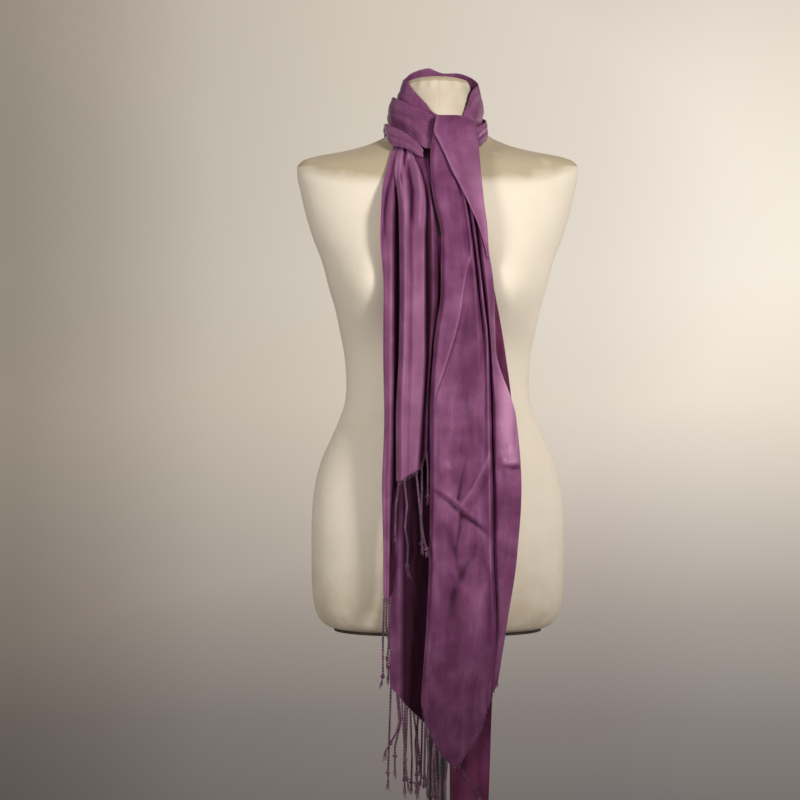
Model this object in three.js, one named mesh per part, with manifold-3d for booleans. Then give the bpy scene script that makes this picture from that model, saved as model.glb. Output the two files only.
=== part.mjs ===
// A pashmina shawl, looped round the neck of a limbless dress form on a pole stand.
// Millimetres, +Z up. The origin is on the floor, under the middle of the stand's base.
// The wearer's front faces -Y, and +X is at the viewer's right.
import * as THREE from "three";
import { mergeVertices } from "three/addons/utils/BufferGeometryUtils.js";
import Module from "manifold-3d";

const wasm = await Module();
wasm.setup();

// ---------------------------------------------------------------- driving dimensions

const CLOTH = 1.2; // thickness of a cloth wall
const SEAM = 0.3; // gap between two pieces that meet
const REST = 0.85; // gap from the form's surface to the middle of the cloth that rests on it

const FORM_BOTTOM = 750; // height of the torso's underside above the floor
const BOARD = { thick: 4, inset: 2 };
const BUST = { x: 97, z: 1217, out: 46, spreadX: 58, spreadZ: 60 };
const FORM_SIDES = 40;
const FORM_TOP_FROM = 1376; // above this the torso takes a second section between each two

const POLE_RADIUS = 12.5;
const BASE = { radius: 180, edge: 6, thick: 12, hubRadius: 32, hubHeight: 42, sides: 48 };

const CHEST_WIDTH = 280; // how broadly the chest rounds under the tails' upper ends
const DEEP = 10; // a fold line further back than this keeps most of its depth all the way
const RISE_DEPTH = 60; // over this height a hidden panel falls back from the layer in front

const STRAND = { length: 126, radius: 1.2, knotAt: 0.7, knot: 2.6, tassel: 2.9, sides: 3 };
const BACKING = 4; // depth of the strip that the fringe is rooted in

const MAUVE = 0x8a5688;
const MAUVE_LIGHT = 0xa56fa6;
const MAUVE_DEEP = 0x6b3f6c;
const JERSEY = 0xd9d2be;
const STEEL = 0x23261f;
const BOARD_EDGE = 0x3a3630;

// The form's level sections: half its width, its reach to the front and back, and how
// square the section is (2 is an ellipse, less is pinched towards the shoulder line).
const FORM_SECTIONS = [
  { z: 750, half: 146, front: 88, back: 96, square: 2.3 },
  { z: 754, half: 156, front: 98, back: 106, square: 2.3 },
  { z: 764, half: 165, front: 105, back: 114, square: 2.3 },
  { z: 780, half: 171, front: 109, back: 118, square: 2.3 },
  { z: 814, half: 174.5, front: 111, back: 121, square: 2.3 },
  { z: 869, half: 175, front: 111, back: 122, square: 2.3 },
  { z: 911, half: 174, front: 109, back: 119, square: 2.3 },
  { z: 946, half: 170, front: 105, back: 113, square: 2.3 },
  { z: 981, half: 161, front: 101, back: 105, square: 2.3 },
  { z: 1008, half: 149, front: 98, back: 98, square: 2.3 },
  { z: 1036, half: 137, front: 94, back: 91, square: 2.3 },
  { z: 1064, half: 128, front: 91, back: 86, square: 2.3 },
  { z: 1085, half: 126.5, front: 90, back: 84, square: 2.3 },
  { z: 1120, half: 128.6, front: 91, back: 85, square: 2.3 },
  { z: 1161, half: 136, front: 94, back: 90, square: 2.3 },
  { z: 1190, half: 142, front: 96, back: 94, square: 2.3 },
  { z: 1217, half: 150, front: 97, back: 98, square: 2.3 },
  { z: 1256, half: 160.5, front: 98, back: 102, square: 2.3 },
  { z: 1286, half: 172, front: 97, back: 104, square: 2.3 },
  { z: 1321, half: 183, front: 93, back: 104, square: 2.3 },
  { z: 1356, half: 191, front: 87, back: 101, square: 2.2 },
  { z: 1376, half: 195, front: 78, back: 96, square: 2.1 },
  { z: 1386, half: 195, front: 72, back: 91, square: 2 },
  { z: 1395, half: 189, front: 66, back: 85, square: 1.8 },
  { z: 1401, half: 174, front: 62, back: 80, square: 1.6 },
  { z: 1410, half: 128, front: 58, back: 73, square: 1.45 },
  { z: 1418, half: 98, front: 56, back: 68, square: 1.45 },
  { z: 1430, half: 72, front: 54, back: 61, square: 1.7 },
  { z: 1445, half: 57, front: 51, back: 56, square: 2 },
  { z: 1465, half: 49, front: 48, back: 51, square: 2 },
  { z: 1486, half: 46, front: 46, back: 48, square: 2 },
  { z: 1499, half: 45, front: 45, back: 47, square: 2 },
  { z: 1505, half: 42, front: 42, back: 44, square: 2 },
  { z: 1508, half: 34, front: 34, back: 36, square: 2 },
];

// How far in front of the form's axis the cloth hangs at each height, for the long tail
// at the right and the short tail at the left.
const HANG = [
  { z: 1450, long: 78, short: 60 },
  { z: 1430, long: 86, short: 62 },
  { z: 1412, long: 91, short: 66 },
  { z: 1400, long: 95, short: 72 },
  { z: 1388, long: 99, short: 80 },
  { z: 1370, long: 105, short: 94 },
  { z: 1350, long: 113, short: 106 },
  { z: 1300, long: 130, short: 129 },
  { z: 1250, long: 145, short: 146 },
  { z: 1200, long: 153, short: 154 },
  { z: 1150, long: 156, short: 156 },
  { z: 1000, long: 156, short: 156 },
  { z: 800, long: 154, short: 153 },
  { z: 600, long: 151, short: 150 },
  { z: 450, long: 150, short: 149 },
];

// Turns of the shawl round the neck. turn is the angle from the front, plus to the right;
// top and low are the heights of a roll's two edges, topR and lowR their distances from
// the neck's axis, and swell is how far the roll bulges between them.
const TOP_TURN = [
  { turn: 12, top: 1448, topR: 57, low: 1438, lowR: 58, swell: 1 },
  { turn: 2, top: 1450, topR: 56.5, low: 1437, lowR: 58.2, swell: 1.5 },
  { turn: -7, top: 1454, topR: 55, low: 1441, lowR: 57.8, swell: 2 },
  { turn: -20, top: 1468, topR: 52, low: 1447, lowR: 57.2, swell: 3 },
  { turn: -43, top: 1487, topR: 49.5, low: 1455, lowR: 57, swell: 3 },
  { turn: -60, top: 1499, topR: 47.6, low: 1462, lowR: 56, swell: 3 },
  { turn: -90, top: 1508, topR: 47, low: 1472, lowR: 57, swell: 2 },
  { turn: -110, top: 1517, topR: 49, low: 1468, lowR: 58, swell: 3 },
  { turn: -135, top: 1526, topR: 53, low: 1462, lowR: 60, swell: 4 },
  { turn: -180, top: 1536, topR: 60, low: 1452, lowR: 62, swell: 5 },
  { turn: -225, top: 1522, topR: 60, low: 1450, lowR: 62, swell: 5 },
  { turn: -250, top: 1512, topR: 58, low: 1448, lowR: 61, swell: 5 },
  { turn: -270, top: 1500, topR: 56, low: 1446, lowR: 61, swell: 5 },
  { turn: -300, top: 1490, topR: 53, low: 1434, lowR: 62.2, swell: 3 },
  { turn: -309, top: 1472, topR: 54, low: 1430, lowR: 64, swell: 2 },
  { turn: -320, top: 1455, topR: 55.5, low: 1430, lowR: 66, swell: 2 },
  { turn: -326, top: 1447, topR: 57.5, low: 1432, lowR: 64, swell: 1 },
];
const MIDDLE_TURN = [
  { turn: -1, top: 1443, topR: 64, low: 1404, lowR: 79, swell: 1 },
  { turn: -10, top: 1451, topR: 63, low: 1403, lowR: 81, swell: 4 },
  { turn: -18, top: 1457, topR: 63, low: 1407, lowR: 79, swell: 5 },
  { turn: -30, top: 1461, topR: 63, low: 1421, lowR: 72, swell: 5 },
  { turn: -44, top: 1469, topR: 62, low: 1430, lowR: 68, swell: 5 },
  { turn: -60, top: 1475, topR: 61, low: 1436, lowR: 66, swell: 5 },
  { turn: -80, top: 1482, topR: 62, low: 1440, lowR: 66, swell: 4 },
  { turn: -110, top: 1486, topR: 63, low: 1438, lowR: 68, swell: 6 },
  { turn: -150, top: 1480, topR: 67, low: 1434, lowR: 72, swell: 8 },
  { turn: -180, top: 1474, topR: 70, low: 1432, lowR: 76, swell: 8 },
  { turn: -215, top: 1466, topR: 72, low: 1432, lowR: 76, swell: 7 },
  { turn: -250, top: 1457, topR: 70, low: 1432, lowR: 72, swell: 3 },
  { turn: -270, top: 1451, topR: 67, low: 1430, lowR: 68.6, swell: 1 },
  { turn: -300, top: 1440, topR: 68, low: 1418, lowR: 74, swell: 2 },
  { turn: -318, top: 1432, topR: 70, low: 1408, lowR: 77, swell: 3 },
  { turn: -324, top: 1430, topR: 70, low: 1410, lowR: 76, swell: 2 },
];
const LOW_TURN = [
  { turn: -9, top: 1394, topR: 88, low: 1387, lowR: 89, swell: 1 },
  { turn: -18, top: 1407, topR: 85, low: 1394, lowR: 88, swell: 2 },
  { turn: -24, top: 1415, topR: 82, low: 1401, lowR: 87, swell: 3 },
  { turn: -31, top: 1425, topR: 79, low: 1405, lowR: 87, swell: 4 },
  { turn: -44, top: 1435, topR: 76, low: 1408, lowR: 87, swell: 4 },
  { turn: -60, top: 1441, topR: 74, low: 1417, lowR: 80, swell: 4 },
  { turn: -80, top: 1445, topR: 73.5, low: 1431, lowR: 70, swell: 1.5 },
  { turn: -110, top: 1446, topR: 75, low: 1424, lowR: 75, swell: 3 },
  { turn: -150, top: 1438, topR: 82, low: 1412, lowR: 87, swell: 4 },
  { turn: -180, top: 1434, topR: 85, low: 1424, lowR: 91, swell: 3 },
  { turn: -200, top: 1432, topR: 84, low: 1424, lowR: 89, swell: 2 },
];

// The folded-over strip of the long tail, from its start behind the roll, over the top
// and down to its point. back and fall are how far its right edge turns away and sinks.
const FLAP = [
  { z: 1437, y: -58.5, left: 11, right: 44, back: 9, fall: 1 },
  { z: 1444, y: -62, left: 3, right: 47, back: 9, fall: 4 },
  { z: 1448.5, y: -70, left: 0, right: 49, back: 9, fall: 8 },
  { z: 1447, y: -80, left: -2, right: 50, back: 10, fall: 8 },
  { z: 1438, y: -88, left: -4, right: 50.6, back: 11, fall: 5 },
  { z: 1425, y: -93, left: -6.2, right: 51, back: 11, fall: 3 },
  { z: 1410, y: -98, left: 0, right: 52.4, back: 10.5, fall: 1 },
  { z: 1390, y: -105, left: 9, right: 53.6, back: 8, fall: 0 },
  { z: 1370, y: -113, left: 17.1, right: 54.6, back: 5, fall: 0 },
  { z: 1345, y: -120.9, left: 29.4, right: 56.4, back: 3, fall: 0 },
  { z: 1320, y: -129.6, left: 40.5, right: 58.6, back: 2, fall: 0 },
  { z: 1295, y: -137.8, left: 51, right: 61.4, back: 1, fall: 0 },
  { z: 1270, y: -144.8, left: 59.3, right: 65, back: 0, fall: 0 },
  { z: 1248, y: -150, left: 66, right: 69, back: 0, fall: 0 },
];

// Panels of the tails. folds names the fold lines across a panel, in order. A section is
// its height, how full the folds are there, and where each fold line crosses it. proud is
// how far each fold line stands in front of the hanging line, and ends the height at which
// it meets the cut end of the cloth. clear is the least gap from the form to the middle of
// the cloth, and rise how much nearer to the layer in front a hidden panel starts.
const LONG_FRONT = {
  folds: "edge roll ridge hollow bulge valleyA fin valleyB strip right back",
  sections: [
    [1430, 0.3, -6, -1, 14, 22, 28, 32, 36.5, 41, 46, 50, 47],
    [1390, 0.5, -11, -6, 15, 23.5, 28.5, 32.5, 37, 41.5, 46.5, 51, 48],
    [1340, 0.8, -8.3, -3, 22, 28.5, 32.5, 36.5, 40.5, 45, 50, 55, 52],
    [1280, 1, 2.7, 8, 29, 35, 39.5, 43.5, 46.5, 50, 56.5, 61.3, 58],
    [1210, 1, 2, 7.5, 30, 39, 46, 50.7, 54, 57.5, 65, 70.5, 67],
    [1130, 1, -7.4, -2, 13.3, 29, 49, 58, 61.5, 65, 69, 73, 69],
    [1040, 1, -12.5, -7, 2, 20, 47, 57, 62.5, 68.4, 83.5, 99.5, 94],
    [950, 1, -12.2, -7, 3, 22, 47, 57, 64.2, 70.7, 88.8, 106, 100],
    [860, 0.8, -13.3, -8, 3, 24, 50, 62, 71.5, 77.4, 89, 100.2, 95],
    [770, 0.45, -17.2, -12, 1.5, 24, 50, 66, 77.5, 81, 84, 87, 83],
    [680, 0.25, -23.9, -18, 0, 20, 40, 53.6, 63, 67, 70, 73, 69],
  ],
  proud: [-6, 3, 5, 0, 4, -7, 2, -8, 4, -4, -11],
  ends: [664, 642, 604, 586, 611, 636, 664, 676, 686, 694, 698],
  start: 1430,
  clear: 7,
  rise: 0,
  tail: "long",
};
const LONG_BACK = {
  folds: "inner first second third edge back",
  sections: [
    [1280, 1, -1, 12, 26, 41, 57, 54],
    [1210, 1, -2, 15, 34, 54, 71.6, 68],
    [1130, 1, -2, 18, 40, 64, 85.5, 81],
    [1040, 1, -2, 20, 46, 74, 96.5, 92],
    [950, 1, -2, 22, 48, 78, 101.5, 97],
    [860, 1, -2, 20, 46, 74, 97, 92],
    [770, 1, -3, 18, 40, 64, 83.5, 79],
    [680, 1, 5, 18, 34, 54, 69.6, 65],
    [600, 1, 13.5, 24, 37, 53, 66.5, 62],
    [500, 1, 14, 24, 36, 51, 63, 59],
  ],
  proud: [-18, -21, -17, -21, -18, -24],
  ends: [532, 527, 521, 514, 503, 505],
  start: 1280,
  clear: 3,
  rise: 6.1,
  tail: "long",
};
const LONG_UNDER = {
  folds: "back edge roll fall deep inner",
  sections: [
    [1180, 1, -46, -49.5, -45, -38, -24, -8],
    [1040, 1, -48, -52.7, -47, -39, -25, -9],
    [950, 1, -50, -55.3, -49, -41, -27, -10],
    [860, 1, -55, -61, -53, -43, -28, -11],
    [770, 1, -59, -65, -56, -46, -31, -14],
    [600, 1, -59, -65.2, -56, -47, -33, -17],
  ],
  proud: [-32, -26, -22, -26, -33, -36],
  ends: [690, 687, 677, 664, 649, 634],
  start: 1180,
  clear: 3,
  rise: 4.3,
  tail: "short",
};
const SHORT_FRONT = {
  folds: "edge ridge valley crest gully deep inner",
  sections: [
    [1412, 0.35, -50, -45, -40, -34, -28, -22, -15],
    [1390, 0.5, -54.5, -47.5, -39.5, -33, -26.7, -20.5, -13.5],
    [1340, 0.8, -54.8, -45.5, -36.5, -27.5, -19.5, -14.5, -10],
    [1280, 1, -52.7, -44.5, -37, -27, -17, -9.5, -2],
    [1210, 1, -51, -44, -37.2, -27, -17, -9.5, -2],
    [1130, 1, -53, -46, -39.3, -30, -21.1, -15, -9],
    [1040, 1, -57, -49, -40.7, -32, -23.6, -18.5, -13.5],
    [950, 1, -56.7, -49, -41.7, -34, -26, -20, -14],
  ],
  proud: [-7, 5, -2, 5, -9, -5, -14],
  ends: [958, 960, 966, 971, 978, 992, 1000],
  start: 1412,
  clear: 9,
  rise: 0,
  tail: "short",
};
const SHORT_SIDE = {
  folds: "inner tuck ridge valley edge turn back",
  sections: [
    [1412, 0.35, -44, -50, -54.5, -57.5, -60.5, -58, -50],
    [1390, 0.5, -43, -53.8, -59.5, -62.8, -66, -63, -52],
    [1340, 0.8, -42, -53.6, -61.5, -69, -76, -73, -58],
    [1280, 1, -40, -50.5, -62, -72, -77.6, -74, -58],
    [1210, 1, -39, -49, -61, -69, -73.4, -69, -54],
    [1130, 1, -41, -51, -62, -69, -73.9, -69, -54],
    [1040, 1, -44, -54, -63, -68.5, -72.5, -68, -54],
    [950, 1, -50, -58, -66, -71, -75.3, -71, -57],
    [860, 1, -60, -64, -67.5, -70.5, -73.6, -70, -62],
    [790, 1, -62, -65.2, -68, -71, -73.6, -71, -65],
  ],
  proud: [-17, -14.3, -2.5, -7, -3, -12, -19],
  ends: [812, 806, 803, 805, 808, 806, 796],
  start: 1412,
  clear: 5.5,
  rise: 0,
  tail: "short",
};

// Fringe along each end edge that shows: from and to are shares of the panel's width.
const FRINGES = {
  fringe_left_front: { panel: SHORT_FRONT, from: 0.02, to: 0.98, strands: 9 },
  fringe_left_corner: { panel: SHORT_SIDE, from: 0.15, to: 0.62, strands: 5 },
  fringe_right_under: { panel: LONG_UNDER, from: 0.15, to: 0.98, strands: 11 },
  fringe_right_front: { panel: LONG_FRONT, from: 0.02, to: 0.3, strands: 9 },
  fringe_right_corner: { panel: LONG_BACK, from: 0.02, to: 0.78, strands: 10 },
};

// ---------------------------------------------------------------- curves and surfaces

// A smooth curve through the given values, which never overshoots between them.
function curve(keys, values) {
  const last = keys.length - 1;
  const slope = (i) => (values[i + 1] - values[i]) / (keys[i + 1] - keys[i]);
  const lean = keys.map((key, i) => {
    if (i === 0) return slope(0);
    if (i === last) return slope(last - 1);
    const before = slope(i - 1);
    const after = slope(i);
    return before * after <= 0 ? 0 : (2 * before * after) / (before + after);
  });
  return (at) => {
    if (at <= keys[0]) return values[0];
    if (at >= keys[last]) return values[last];
    let i = 0;
    while (at > keys[i + 1]) i += 1;
    const span = keys[i + 1] - keys[i];
    const t = (at - keys[i]) / span;
    const rise = values[i + 1] - values[i];
    const bend = lean[i] * span - rise;
    const unbend = rise - lean[i + 1] * span;
    return values[i] + t * rise + t * (1 - t) * ((1 - t) * bend + t * unbend);
  };
}

// The curve of one column of a table against its key column.
function column(table, key, name) {
  const rows = [...table].sort((a, b) => a[key] - b[key]);
  return curve(
    rows.map((row) => row[key]),
    rows.map((row) => row[name]),
  );
}

const formHalf = column(FORM_SECTIONS, "z", "half");
const formFront = column(FORM_SECTIONS, "z", "front");
const formBack = column(FORM_SECTIONS, "z", "back");
const formSquare = column(FORM_SECTIONS, "z", "square");

// How far the bust stands forward of the level section at this place.
function bustAt(x, z) {
  const side = (Math.abs(x) - BUST.x) / BUST.spreadX;
  const rise = (z - BUST.z) / BUST.spreadZ;
  return BUST.out * Math.exp(-side * side - rise * rise);
}

// A point of the form's surface: at this height, and this angle round it from the front.
function formPoint(z, angle) {
  const square = formSquare(z);
  const across = Math.sin(angle);
  const along = -Math.cos(angle);
  const reach = along < 0 ? formFront(z) : formBack(z);
  const x = formHalf(z) * Math.sign(across) * Math.abs(across) ** (2 / square);
  const y = reach * Math.sign(along) * Math.abs(along) ** (2 / square);
  const swell = along < 0 ? bustAt(x, z) * Math.min(1, -y / 30) : 0;
  return new THREE.Vector3(x, y - swell, z);
}

// How far in front of the form's axis its surface is, at this place of its front.
function formReach(x, z) {
  const share = Math.min(1, Math.abs(x) / formHalf(z));
  const square = formSquare(z);
  const reach = formFront(z) * (1 - share ** square) ** (1 / square);
  return reach + bustAt(x, z) * Math.min(1, reach / 30);
}

// How far out from the form's axis this place is, as a share of the form's own reach.
function formShare(x, y, z) {
  const reach = y < 0 ? formFront(z) : formBack(z);
  const square = formSquare(z);
  return ((Math.abs(x) / formHalf(z)) ** square + (Math.abs(y) / reach) ** square) ** (1 / square);
}

// Lifts a point until it clears the form, as cloth does that lies on a shoulder.
function restOnForm(point) {
  const least = 1 + REST / Math.hypot(point.x, point.y);
  while (point.z < FORM_SECTIONS.at(-1).z && formShare(point.x, point.y, point.z - REST) < least) {
    point.z += 0.25;
  }
  return point;
}

// ---------------------------------------------------------------- solids

function meshOf(name, geometry, color, roughness, metalness) {
  const material = new THREE.MeshStandardMaterial({ color, roughness, metalness });
  const mesh = new THREE.Mesh(geometry, material);
  mesh.name = name;
  return mesh;
}

// A geometry from points and triangles, turned so that its faces point out.
function closedGeometry(points, triangles) {
  let volume = 0;
  const cross = new THREE.Vector3();
  for (const [a, b, c] of triangles) {
    volume += points[a].dot(cross.crossVectors(points[b], points[c]));
  }
  const facing = volume < 0 ? triangles.map(([a, b, c]) => [a, c, b]) : triangles;
  const geometry = new THREE.BufferGeometry().setFromPoints(points);
  geometry.setIndex(facing.flat());
  return geometry;
}

// A cloth wall of even thickness on a middle surface: pointAt gives its point at a share
// of the way across and a share of the way down.
function wallGeometry(across, down, pointAt) {
  const middle = [];
  for (let j = 0; j <= down; j += 1) {
    for (let i = 0; i <= across; i += 1) {
      middle.push(pointAt(i / across, j / down));
    }
  }
  const at = (i, j) => middle[j * (across + 1) + i];
  const points = [];
  for (const side of [0.5, -0.5]) {
    for (let j = 0; j <= down; j += 1) {
      for (let i = 0; i <= across; i += 1) {
        const u = at(Math.min(i + 1, across), j).clone().sub(at(Math.max(i - 1, 0), j));
        const v = at(i, Math.min(j + 1, down)).clone().sub(at(i, Math.max(j - 1, 0)));
        const normal = u.cross(v).normalize();
        points.push(at(i, j).clone().addScaledVector(normal, side * CLOTH));
      }
    }
  }
  const layer = (across + 1) * (down + 1);
  const index = (i, j, side) => side * layer + j * (across + 1) + i;
  const triangles = [];
  const quad = (a, b, c, d) => triangles.push([a, b, c], [a, c, d]);
  for (let j = 0; j < down; j += 1) {
    for (let i = 0; i < across; i += 1) {
      quad(index(i, j, 0), index(i + 1, j, 0), index(i + 1, j + 1, 0), index(i, j + 1, 0));
      quad(index(i, j, 1), index(i, j + 1, 1), index(i + 1, j + 1, 1), index(i + 1, j, 1));
    }
  }
  for (let i = 0; i < across; i += 1) {
    quad(index(i, 0, 1), index(i + 1, 0, 1), index(i + 1, 0, 0), index(i, 0, 0));
    quad(index(i, down, 0), index(i + 1, down, 0), index(i + 1, down, 1), index(i, down, 1));
  }
  for (let j = 0; j < down; j += 1) {
    quad(index(0, j, 0), index(0, j + 1, 0), index(0, j + 1, 1), index(0, j, 1));
    quad(index(across, j, 1), index(across, j + 1, 1), index(across, j + 1, 0), index(across, j, 0));
  }
  return closedGeometry(points, triangles);
}

// A solid through closed rings of points, with a flat cap at each end.
function ringsGeometry(rings) {
  const sides = rings[0].length;
  const points = rings.flat();
  const triangles = [];
  for (let j = 0; j + 1 < rings.length; j += 1) {
    for (let i = 0; i < sides; i += 1) {
      const next = (i + 1) % sides;
      const low = j * sides;
      const high = low + sides;
      triangles.push([low + i, low + next, high + next], [low + i, high + next, high + i]);
    }
  }
  const last = (rings.length - 1) * sides;
  for (let i = 1; i + 1 < sides; i += 1) {
    triangles.push([0, i + 1, i], [last, last + i, last + i + 1]);
  }
  return closedGeometry(points, triangles);
}

function solidOf(geometry) {
  const merged = mergeVertices(geometry, 1e-4);
  return new wasm.Manifold(
    new wasm.Mesh({
      numProp: 3,
      vertProperties: new Float32Array(merged.attributes.position.array),
      triVerts: new Uint32Array(merged.index.array),
    }),
  );
}

function geometryOf(solid) {
  const { vertProperties, triVerts } = solid.getMesh();
  const geometry = new THREE.BufferGeometry();
  geometry.setAttribute("position", new THREE.BufferAttribute(vertProperties, 3));
  geometry.setIndex(new THREE.BufferAttribute(triVerts, 1));
  return geometry;
}

// ---------------------------------------------------------------- dress form and stand

function dressForm() {
  const heights = FORM_SECTIONS.flatMap(({ z }, i) => {
    const next = FORM_SECTIONS[i + 1];
    return next && z >= FORM_TOP_FROM ? [z, (z + next.z) / 2] : [z];
  });
  const rings = heights.map((z) =>
    Array.from({ length: FORM_SIDES }, (_, i) => formPoint(z, (2 * Math.PI * i) / FORM_SIDES)),
  );
  return meshOf("dress_form", ringsGeometry(rings), JERSEY, 0.9, 0);
}

// The board that closes the torso's underside, a little smaller than the torso.
function baseBoard() {
  const top = FORM_BOTTOM - SEAM;
  const ring = (z) =>
    Array.from({ length: FORM_SIDES }, (_, i) => {
      const point = formPoint(FORM_BOTTOM, (2 * Math.PI * i) / FORM_SIDES);
      const shrink = 1 - BOARD.inset / Math.hypot(point.x, point.y);
      return new THREE.Vector3(point.x * shrink, point.y * shrink, z);
    });
  const geometry = ringsGeometry([ring(top - BOARD.thick), ring(top)]);
  return meshOf("form_base_board", geometry, BOARD_EDGE, 0.8, 0);
}

function standPole() {
  const top = FORM_BOTTOM - BOARD.thick - 2 * SEAM;
  const bottom = BASE.hubHeight + SEAM;
  const geometry = new THREE.CylinderGeometry(POLE_RADIUS, POLE_RADIUS, top - bottom, 24);
  const pole = meshOf("stand_pole", geometry, STEEL, 0.45, 0.6);
  pole.rotation.x = Math.PI / 2;
  pole.position.z = (top + bottom) / 2;
  return pole;
}

// A round plate with a low dome and a hub that holds the pole.
function standBase() {
  const profile = [
    [0, 0],
    [BASE.radius, 0],
    [BASE.radius, BASE.edge],
    [BASE.radius - 6, BASE.edge + 3],
    [BASE.hubRadius + 8, BASE.thick],
    [BASE.hubRadius, BASE.thick + 4],
    [BASE.hubRadius - 10, BASE.hubHeight - 3],
    [BASE.hubRadius - 13, BASE.hubHeight],
    [0, BASE.hubHeight],
  ].map(([radius, height]) => new THREE.Vector2(radius, height));
  const base = meshOf("stand_base", new THREE.LatheGeometry(profile, BASE.sides), STEEL, 0.5, 0.6);
  base.rotation.x = Math.PI / 2;
  return base;
}

// ---------------------------------------------------------------- the shawl

// One turn of the shawl round the neck, as a soft roll between its two edges.
function neckTurn(name, stations, across, along, color) {
  const at = Object.fromEntries(
    ["top", "topR", "low", "lowR", "swell"].map((part) => [part, column(stations, "turn", part)]),
  );
  const first = stations[0].turn;
  const last = stations[stations.length - 1].turn;
  const pointAt = (u, v) => {
    const turn = first + (last - first) * v;
    const angle = THREE.MathUtils.degToRad(turn);
    const bulge = at.swell(turn) * Math.sin(Math.PI * u);
    const away = at.topR(turn) + (at.lowR(turn) - at.topR(turn)) * u + bulge;
    const z = at.top(turn) + (at.low(turn) - at.top(turn)) * u;
    return restOnForm(new THREE.Vector3(away * Math.sin(angle), -away * Math.cos(angle), z));
  };
  return meshOf(name, wallGeometry(across, along, pointAt), color, 0.6, 0);
}

// The folded strip that comes over the roll at the front and tapers to a point.
function rightFlap() {
  const rows = FLAP.map((row, i) => ({ ...row, step: i / (FLAP.length - 1) }));
  const at = Object.fromEntries(
    ["z", "y", "left", "right", "back", "fall"].map((part) => [part, column(rows, "step", part)]),
  );
  const pointAt = (u, v) => {
    const x = at.left(v) + (at.right(v) - at.left(v)) * u;
    const turned = Math.max(0, u - 0.45) ** 2 * 3.3;
    return new THREE.Vector3(x, at.y(v) + at.back(v) * turned, at.z(v) - at.fall(v) * turned);
  };
  return meshOf("right_flap", wallGeometry(6, 26, pointAt), MAUVE_LIGHT, 0.55, 0);
}

const hang = { long: column(HANG, "z", "long"), short: column(HANG, "z", "short") };

// The tails lie round the chest at their start, and hang flat below it.
const chestRound = curve([1320, 1410], [0, 1]);

// The middle surface of a tail's panel: shares of the way across and down give its point.
function panelSurface(panel) {
  const columns = ["z", "depth", ...panel.folds.split(" ")];
  const sections = panel.sections.map((row) =>
    Object.fromEntries(row.map((value, i) => [columns[i], value])),
  );
  const across = columns.slice(2).map((fold) => column(sections, "z", fold));
  const depth = column(sections, "z", "depth");
  const keys = across.map((_, i) => i / (across.length - 1));
  const end = curve(keys, panel.ends);
  const proudAt = curve(keys, panel.proud);
  return (u, v, drop = 0) => {
    const z = panel.start + (end(u) - panel.start) * v;
    const full = depth(z);
    const x = curve(keys, across.map((fold) => fold(z)))(u);
    const proud = proudAt(u);
    const lie = proud < -DEEP ? proud + (1 - full) * (DEEP - 2) : proud * full;
    const round = (x * x * chestRound(z)) / CHEST_WIDTH;
    const near = panel.rise * Math.max(0, 1 - (panel.start - z) / RISE_DEPTH);
    const y = Math.max(hang[panel.tail](z) + lie + near - round, formReach(x, z) + panel.clear);
    return new THREE.Vector3(x, -y, z - drop);
  };
}

function tailPanel(name, panel, across, down, color) {
  return meshOf(name, wallGeometry(across, down, panelSurface(panel)), color, 0.6, 0);
}

// One twisted strand of fringe, with its knot and the tassel below it.
function strand(root, lean) {
  const { length, radius, knotAt, knot, tassel, sides } = STRAND;
  const rings = [
    { down: -BACKING / 4, radius: 0.3 },
    { down: length * 0.1, radius },
    { down: length * (knotAt - 0.03), radius },
    { down: length * knotAt, radius: knot },
    { down: length * (knotAt + 0.04), radius: radius * 1.2 },
    { down: length, radius: tassel },
  ].map((ring) =>
    Array.from({ length: sides }, (_, i) => {
      const angle = (2 * Math.PI * i) / sides;
      const sway = lean * Math.sin((Math.PI * Math.max(0, ring.down)) / length / 1.6);
      return new THREE.Vector3(
        root.x + sway + ring.radius * Math.cos(angle),
        root.y + ring.radius * Math.sin(angle),
        root.z - ring.down,
      );
    }),
  );
  return solidOf(ringsGeometry(rings));
}

// The fringe of one stretch of end edge: strands fused into a narrow strip under it.
function fringe(name, { panel, from, to, strands }) {
  const surface = panelSurface(panel);
  const parting = (share) => {
    const before = surface(share - 0.01, 1);
    const after = surface(share + 0.01, 1);
    const slope = (after.z - before.z) / (after.x - before.x);
    return 3 * SEAM * Math.min(4, Math.hypot(1, slope));
  };
  const edge = (share, down) => surface(share, 1, parting(share) + down);
  const stripPoint = (u, v) => edge(from + (to - from) * u, BACKING * v);
  let solid = solidOf(wallGeometry(strands * 4, 1, stripPoint));
  for (let i = 0; i < strands; i += 1) {
    const share = from + ((to - from) * (i + 0.5)) / strands;
    const lean = 2.2 * Math.sin(i * 2.4 + strands);
    solid = solid.add(strand(edge(share, BACKING / 2), lean));
  }
  return meshOf(name, geometryOf(solid), MAUVE_DEEP, 0.7, 0);
}

const shawlOnForm = new THREE.Group();
shawlOnForm.add(
  dressForm(),
  baseBoard(),
  standPole(),
  standBase(),
  neckTurn("neck_band_top", TOP_TURN, 4, 34, MAUVE),
  neckTurn("neck_band_middle", MIDDLE_TURN, 4, 32, MAUVE),
  neckTurn("neck_loop_low", LOW_TURN, 4, 18, MAUVE_LIGHT),
  rightFlap(),
  tailPanel("right_tail_front", LONG_FRONT, 20, 18, MAUVE),
  tailPanel("right_tail_back", LONG_BACK, 10, 14, MAUVE_DEEP),
  tailPanel("right_tail_under", LONG_UNDER, 10, 10, MAUVE_DEEP),
  tailPanel("left_tail_front", SHORT_FRONT, 12, 16, MAUVE),
  tailPanel("left_tail_side", SHORT_SIDE, 12, 16, MAUVE),
  ...Object.entries(FRINGES).map(([name, row]) => fringe(name, row)),
);

export default shawlOnForm;
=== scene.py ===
import math

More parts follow.
